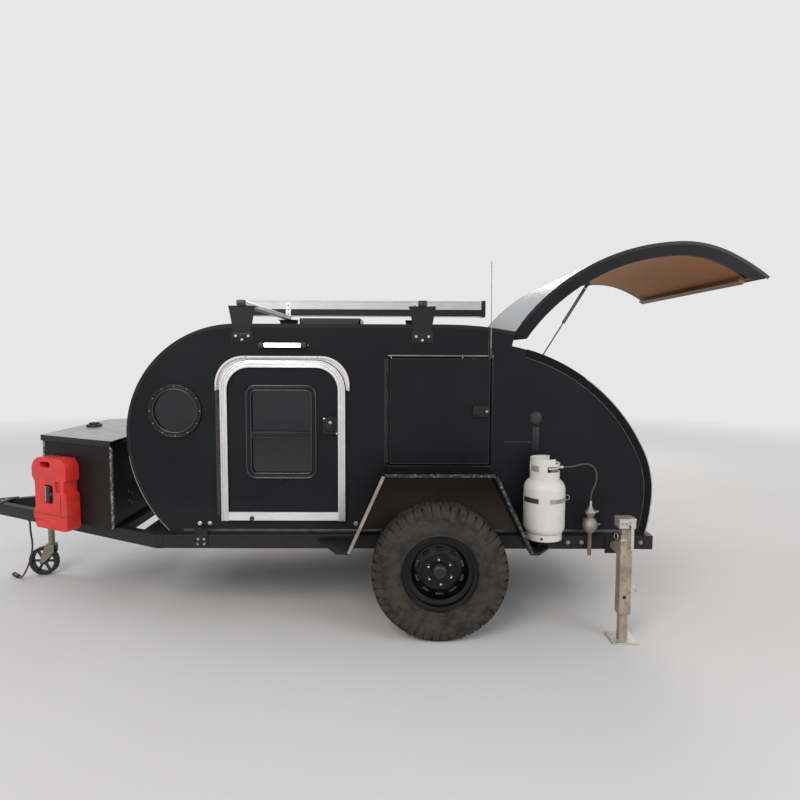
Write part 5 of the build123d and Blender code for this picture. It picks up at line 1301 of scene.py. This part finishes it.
def paint_faces():
    for name, finish, test in FACE_FINISHES:
        for node in named(name):
            node.data.materials.append(finish)
            for face in node.data.polygons:
                if test(face.center - spot(0, 0, 0), face.normal):
                    face.material_index = len(node.data.materials) - 1


# Gas bottle
def wrap(radius, thick, low, high, start, stop, steps, finish):
    """A strip bent round an upright axis at the origin, between two angles in degrees."""
    rings = []
    for n in range(steps + 1):
        angle = radians(start + (stop - start) * n / steps)
        rings.append([(r * cos(angle), r * sin(angle), z) for r, z in (
            (radius, low), (radius + thick, low), (radius + thick, high), (radius, high))])
    return painted(smooth(skin("wrap", rings), 40), finish)


def make_bottle():
    """The printed-over band, the strap with its ring, the rolled rims of collar and foot and the handwheel."""
    parts = [wrap(*row) for row in (
        (0.1147, 0.0010, 0.213, 0.243, 0, 360, 72, BOTTLE_WHITE),
        (0.1155, 0.0008, 0.214, 0.242, -172, -118, 32, BAND_DARK),
        (0.1155, 0.0008, 0.216, 0.240, -88, -20, 32, STEEL_DULL),
        (0.0765, 0.0065, 0.4235, 0.4295, 88, 272, 40, BOTTLE_WHITE),
        (0.0765, 0.0062, 0.4015, 0.4065, -88, 88, 40, BOTTLE_WHITE),
        (0.0955, 0.0060, 0.0, 0.0045, 0, 360, 60, BOTTLE_WHITE),
        (0.1146, 0.0009, 0.170, 0.174, 0, 360, 72, BOTTLE_WHITE),
        (0.078, 0.0052, 0.3275, 0.3330, -140, -30, 24, BOTTLE_WHITE))]
    parts += [block(x, y, z, finish, edge, 2, "flat") for x, y, z, finish, edge in (
        ((0.111, 0.118), (-0.010, 0.002), (0.217, 0.241), STEEL_DULL, 0.001),
        ((-0.028, 0.028), (-0.004, 0.004), (0.374, 0.381), PLASTIC_BLACK, 0.0),
        ((-0.004, 0.004), (-0.028, 0.028), (0.374, 0.381), PLASTIC_BLACK, 0.0))]
    parts += [ring_of(0.0145, 0.0022, (0.126, -0.004, 0.229), (0.2, 1, 0), STEEL_DULL),
              ring_of(0.030, 0.0055, (0, 0, 0.378), UP, PLASTIC_BLACK),
              spun([(0, 0), (0.011, 0), (0.011, 0.022), (0, 0.022)], (0, 0, 0.366), UP, BRASS),
              spun([(0, 0), (0.0075, 0), (0.0075, 0.0012), (0, 0.0012)], (-0.0332, -0.0946, 0.017),
                   (-0.33, -0.944, 0), SOFT_BLACK, 20)]
    bottle = joined("bottle_trim", parts)
    bottle.data.transform(Matrix.Translation(spot(2.394, -0.902, 0.556)))
    fit("bottle_trim", bottle, "bottle_white")


def make_roof_gear():
    """Bolts and lower plates on the roof brackets, caps on the crossbars, the awning's bands, the vent's line."""
    places = beside(0.006, *[(x + dx, z) for x in BAR_X
                             for dx, z in ((-0.036, 1.685), (0.036, 1.685), (0.0, 1.664))])
    fit_pair("rack_bolts", set_out(bolt(0.0080, 0.0060), places, STEEL_BRIGHT), "bright_trim")
    fit_pair("rack_plates", [on_side(rounded(x - 0.056, x + 0.056, 1.6480, 1.7000, 0.006, 0.018, 5), 0.0076, 0.006,
                                     TRIM_BLACK, 0.0006) for x in BAR_X], "roof_black")
    caps = []
    for x in BAR_X:
        end = rounded(x - 0.0255, x + 0.0255, BAR_BOTTOM - 0.0015, BAR_BOTTOM + 0.0315, 0.006)
        caps += [plate(end, *y, PLASTIC_BLACK, 0.0015) for y in ((-0.7835, -0.768), (0.716, 0.7315))]
        caps.append(block((x - 0.004, x + 0.004), (-0.766, 0.716), (BAR_BOTTOM + 0.0297, BAR_BOTTOM + 0.0307),
                          SOFT_BLACK))
    fit("crossbar_caps", caps, "bar_silver")

    x0, x1, back = 0.3200, 2.2520, 0.7380
    band = [(back + 0.0010, 1.8905), (back - 0.0008, 1.8905), (back - 0.0008, 1.9440), (back + 0.0010, 1.9440)]
    silver = [(back + 0.0010, 1.9440), (back - 0.0016, 1.9440), (back - 0.0016, 2.0010), (back - 0.0002, 2.0025),
              (back - 0.0016, 2.0040), (back - 0.0016, 2.0135), (back + 0.0022, 2.0158), (back + 0.0700, 2.0158),
              (back + 0.0700, 2.0145), (back + 0.0010, 2.0145)]
    holes = [(x, back - 0.006, z) for x in BAR_X for z in (1.905, 1.940, 1.975)]
    fit("awning_bands", [
        plate(band, x0, x1, AWNING_BLACK, across="x"),
        painted(smooth(prism("silver_band", silver, x0, x1, "x"), 25), AWNING_SILVER),
        block((x0, x1), (back - 0.0018, back), (1.9432, 1.9452), SOFT_BLACK),
        block((x0, x1), (back - 0.0012, back + 0.001), (1.8895, 1.8915), AWNING_SILVER),
        set_out(screw(0.0060, 0.0026), holes, SOFT_BLACK)], "awning_case")

    low, high = extent("vent_lid")
    rim = rounded(low.x + 0.001, high.x - 0.001, low.y + 0.001, high.y - 0.001, 0.026, None, 6)
    line = smooth(moulding("vent_rim", rim, circle(0.0022), True, low.z + 0.012, "z"), 60)
    fit("vent_rim", painted(line, VENT_SMOKE), "vent_white", "vent_lid")


def make_rear_jacks():
    """The pull ring and pin, collar, lock knob, lid, grip and head screws of each rear jack."""
    x, y = 2.826, -1.012
    knob = [(0, 0), (0.016, 0.0), (0.018, 0.006), (0.018, 0.018), (0.013, 0.024), (0, 0.024)]
    grip = [(0, 0), (0.0125, 0.0), (0.0140, 0.006), (0.0140, 0.026), (0.010, 0.032), (0, 0.032)]
    pin = [(0, 0), (0.006, 0), (0.006, 0.018), (0, 0.018)]
    hole = [(0, 0), (0.0105, 0), (0.0105, 0.0012), (0, 0.0012)]
    fit_pair("rear_jack_trim", [
        spun(hole, spot(x - 0.004, y, 0.250), LEFT, SOFT_BLACK, 20),
        ring_of(0.0165, 0.0021, spot(x + 0.050, y + 0.022, 0.286), (0.15, 1, 0.1), STEEL_BRIGHT),
        spun(pin, spot(x + 0.032, y + 0.030, 0.300), (1, 0, 0), STEEL_BRIGHT, 16),
        block((x - 0.036, x + 0.036), (y - 0.003, y + 0.067), (0.564, 0.578), JACK_HEAD, 0.003),
        spun(knob, spot(x - 0.032, y + 0.022, 0.590), (-1, -0.25, 0), PLASTIC_BLACK),
        ring_of(0.0165, 0.0018, spot(x - 0.054, y + 0.016, 0.590), (-1, -0.25, 0), JACK_HEAD),
        set_out(bolt(0.0050, 0.0040), [(x + dx, y - 0.008, 0.665) for dx in (-0.030, -0.008)], STEEL_DULL),
        block((x - 0.0475, x + 0.0475), (y - 0.0105, y + 0.0725), (0.686, 0.693), JACK_HEAD, 0.002),
        spun(grip, spot(x + 0.020, y + 0.002, 0.530), (0, 1, 0), PLASTIC_BLACK)], "jack_khaki", "rear_jack")


def make_hatch_trim():
    """Black edges down both sides of the skin, and the lip at its tip."""
    outer = [swung(*point, HATCH_OPEN) for point in hatch_points(0.0, 3.0)[1:]]
    section = ((-0.0012, -0.0010), (-0.0012, 0.017), (0.0005, 0.017), (0.0005, 0.0), (0.018, 0.0), (0.018, -0.0010))
    fit_pair("hatch_edge", strip("edge", outer, section, TRIM_BLACK), "rubber_black", "hatch")
    tip = Vector(outer[-1])
    run = (tip - Vector(outer[-2])).normalized()
    side = Vector((run.y, -run.x))
    corners = [tip + run * a + side * b
               for a, b in ((0.0006, -0.001), (0.0026, -0.001), (0.0026, 0.005), (0.0006, 0.005))]
    fit("hatch_lip", plate(corners, -0.742, 0.742, TRIM_BLACK), "rubber_black", "hatch")


# The ends of a strut in x and z, and the length of its tube
STRUT_LOW, STRUT_HIGH, STRUT_TUBE = (2.3987, 1.5517), (2.6685, 1.9934), 0.262


def make_strut_ends():
    """The collar at the foot of each strut's tube, the cap at its head, and the boot on its rod's eye."""
    collar = [(0.0092, 0), (0.0100, 0.001), (0.0100, 0.011), (0.0092, 0.012)]
    ferrule = [(0.0092, 0), (0.0098, 0.001), (0.0098, 0.007), (0.0092, 0.008)]
    boot = [(0.0052, 0.0), (0.0072, 0.002), (0.0072, 0.009), (0.0052, 0.011)]
    for side in ("_left", "_right"):
        y = sum(corner.y for corner in extent("strut_tube" + side)) / 2
        foot, head = [spot(x, y, z) for x, z in (STRUT_LOW, STRUT_HIGH)]
        run = (head - foot).normalized()
        fit("strut_collar" + side, [spun(collar, head - run * (STRUT_TUBE - 0.004), run, STRUT_BLACK),
                                    spun(ferrule, head - run * 0.034, run, STEEL_DULL)],
            "strut_black", "strut_tube" + side)
        fit("strut_boot" + side, spun(boot, foot + run * 0.012, run, STRUT_BLACK, 20), "rod_chrome",
            "strut_rod" + side)


def make_side_lines():
    """The seam of the rear panel, and the plate under the inlet with its bracket line."""
    fit("side_lines", [
        side_bar((2.0890, 2.0915), (1.575, 1.745), 0.0008, 0.0, BODY_EDGE),
        on_side(rounded(2.352, 2.389, 1.020, 1.165, 0.006), 0.0022, 0.0, PLATE_LINE, 0.0008),
        side_bar((2.186, 2.345), (1.072, 1.082), 0.0030, 0.0, PLATE_LINE, 0.0008)], "body_black")


def make_tail_lamps():
    """Lens, reflector and base of each tail lamp."""
    x = extent("tail_lamps")[1].x
    parts = [block((x - 0.022, x - 0.012), (-0.748, -0.582), (0.463, 0.529), PLASTIC_BLACK, 0.002)]
    parts += [block((x - 0.002, x + 0.006), y, (0.474, 0.518), finish, 0.0025, 3) for y, finish in (
        ((-0.735, -0.668), LENS_RED), ((-0.664, -0.628), LENS_AMBER), ((-0.624, -0.595), LENS_CLEAR))]
    fit_pair("tail_lens", parts, "lens_red")


def make_jack_trim():
    """The crank's knob, the cap of the tube and the clamp bolts of the jack plate."""
    x = -0.899
    knob = [(0, 0), (0.0125, 0), (0.0155, 0.006), (0.0165, 0.045), (0.012, 0.056), (0, 0.058)]
    cap = [(0.0, 0.004), (0.028, 0.004), (0.0355, 0.0), (0.0355, -0.010), (0.0345, -0.010)]
    places = [(x + dx, y, 0.516) for dx in (-0.048, 0.048) for y in (-0.032, 0.032)]
    fit("jack_trim", [spun(knob, spot(x + 0.150, 0, 0.888), UP, PLASTIC_BLACK),
                      spun(cap, spot(x, 0, 0.866), UP, STEEL_DULL, 36),
                      set_out(bolt(0.0080, 0.0060), places, STEEL_BRIGHT, UP)], "jack_khaki")


def make_galley():
    """Edge strips across the cabinet and on the posts between its openings."""
    rear = extent("galley_cabinet")[1].x
    fit("galley_strips", [block((rear, rear + 0.0022), y, z, BIRCH_EDGE, 0.0008) for y, z in (
        ((-0.712, 0.712), (0.741, 0.757)), ((-0.712, 0.712), (0.9315, 0.9475)),
        ((-0.248, -0.232), (0.600, 0.930)), ((0.232, 0.248), (0.600, 0.930)))], "birch_ply")


def make_tongue_trim():
    """The coupler's latch grip and bolts, and the rings round the plug's collar."""
    x = extent("coupler")[0].x
    places = [(x + dx, y, 0.5365) for dx in (0.255, 0.305) for y in (-0.022, 0.022)]
    fit("coupler_trim", [block((x + 0.150, x + 0.215), (-0.013, 0.013), (0.574, 0.580), PLASTIC_BLACK, 0.002),
                         set_out(bolt(0.0080, 0.0060), places, STEEL_BRIGHT, UP)], "coupler_zinc")
    low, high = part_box("wiring_plug")
    run = Vector((-0.74, 0.57, 0.0)).normalized()
    profile = [(0.0136, -0.0014), (0.0152, -0.0008), (0.0152, 0.0008), (0.0136, 0.0014)]
    fit("plug_rings", [spun(profile, (low + high) / 2 + run * out, run, PLASTIC_BLACK, 28, 40)
                       for out in (0.0255, 0.0204, 0.0153)], "rubber_black")


for make in (make_camera, make_stage, make_lamps, dress_nodes, paint_faces, make_cords, make_tyres, make_wheel_trim,
             make_body_trims, make_doors, make_door_surrounds, make_store_door, make_portholes, make_porch_lights,
             make_side_fittings, make_lower_bolts, make_fenders, make_toolbox, make_can, make_bottle, make_roof_gear,
             make_rear_jacks, make_hatch_trim, make_strut_ends, make_side_lines, make_tail_lamps, make_jack_trim,
             make_galley, make_tongue_trim):
    make()

bpy.context.scene.view_settings.view_transform = "Standard"
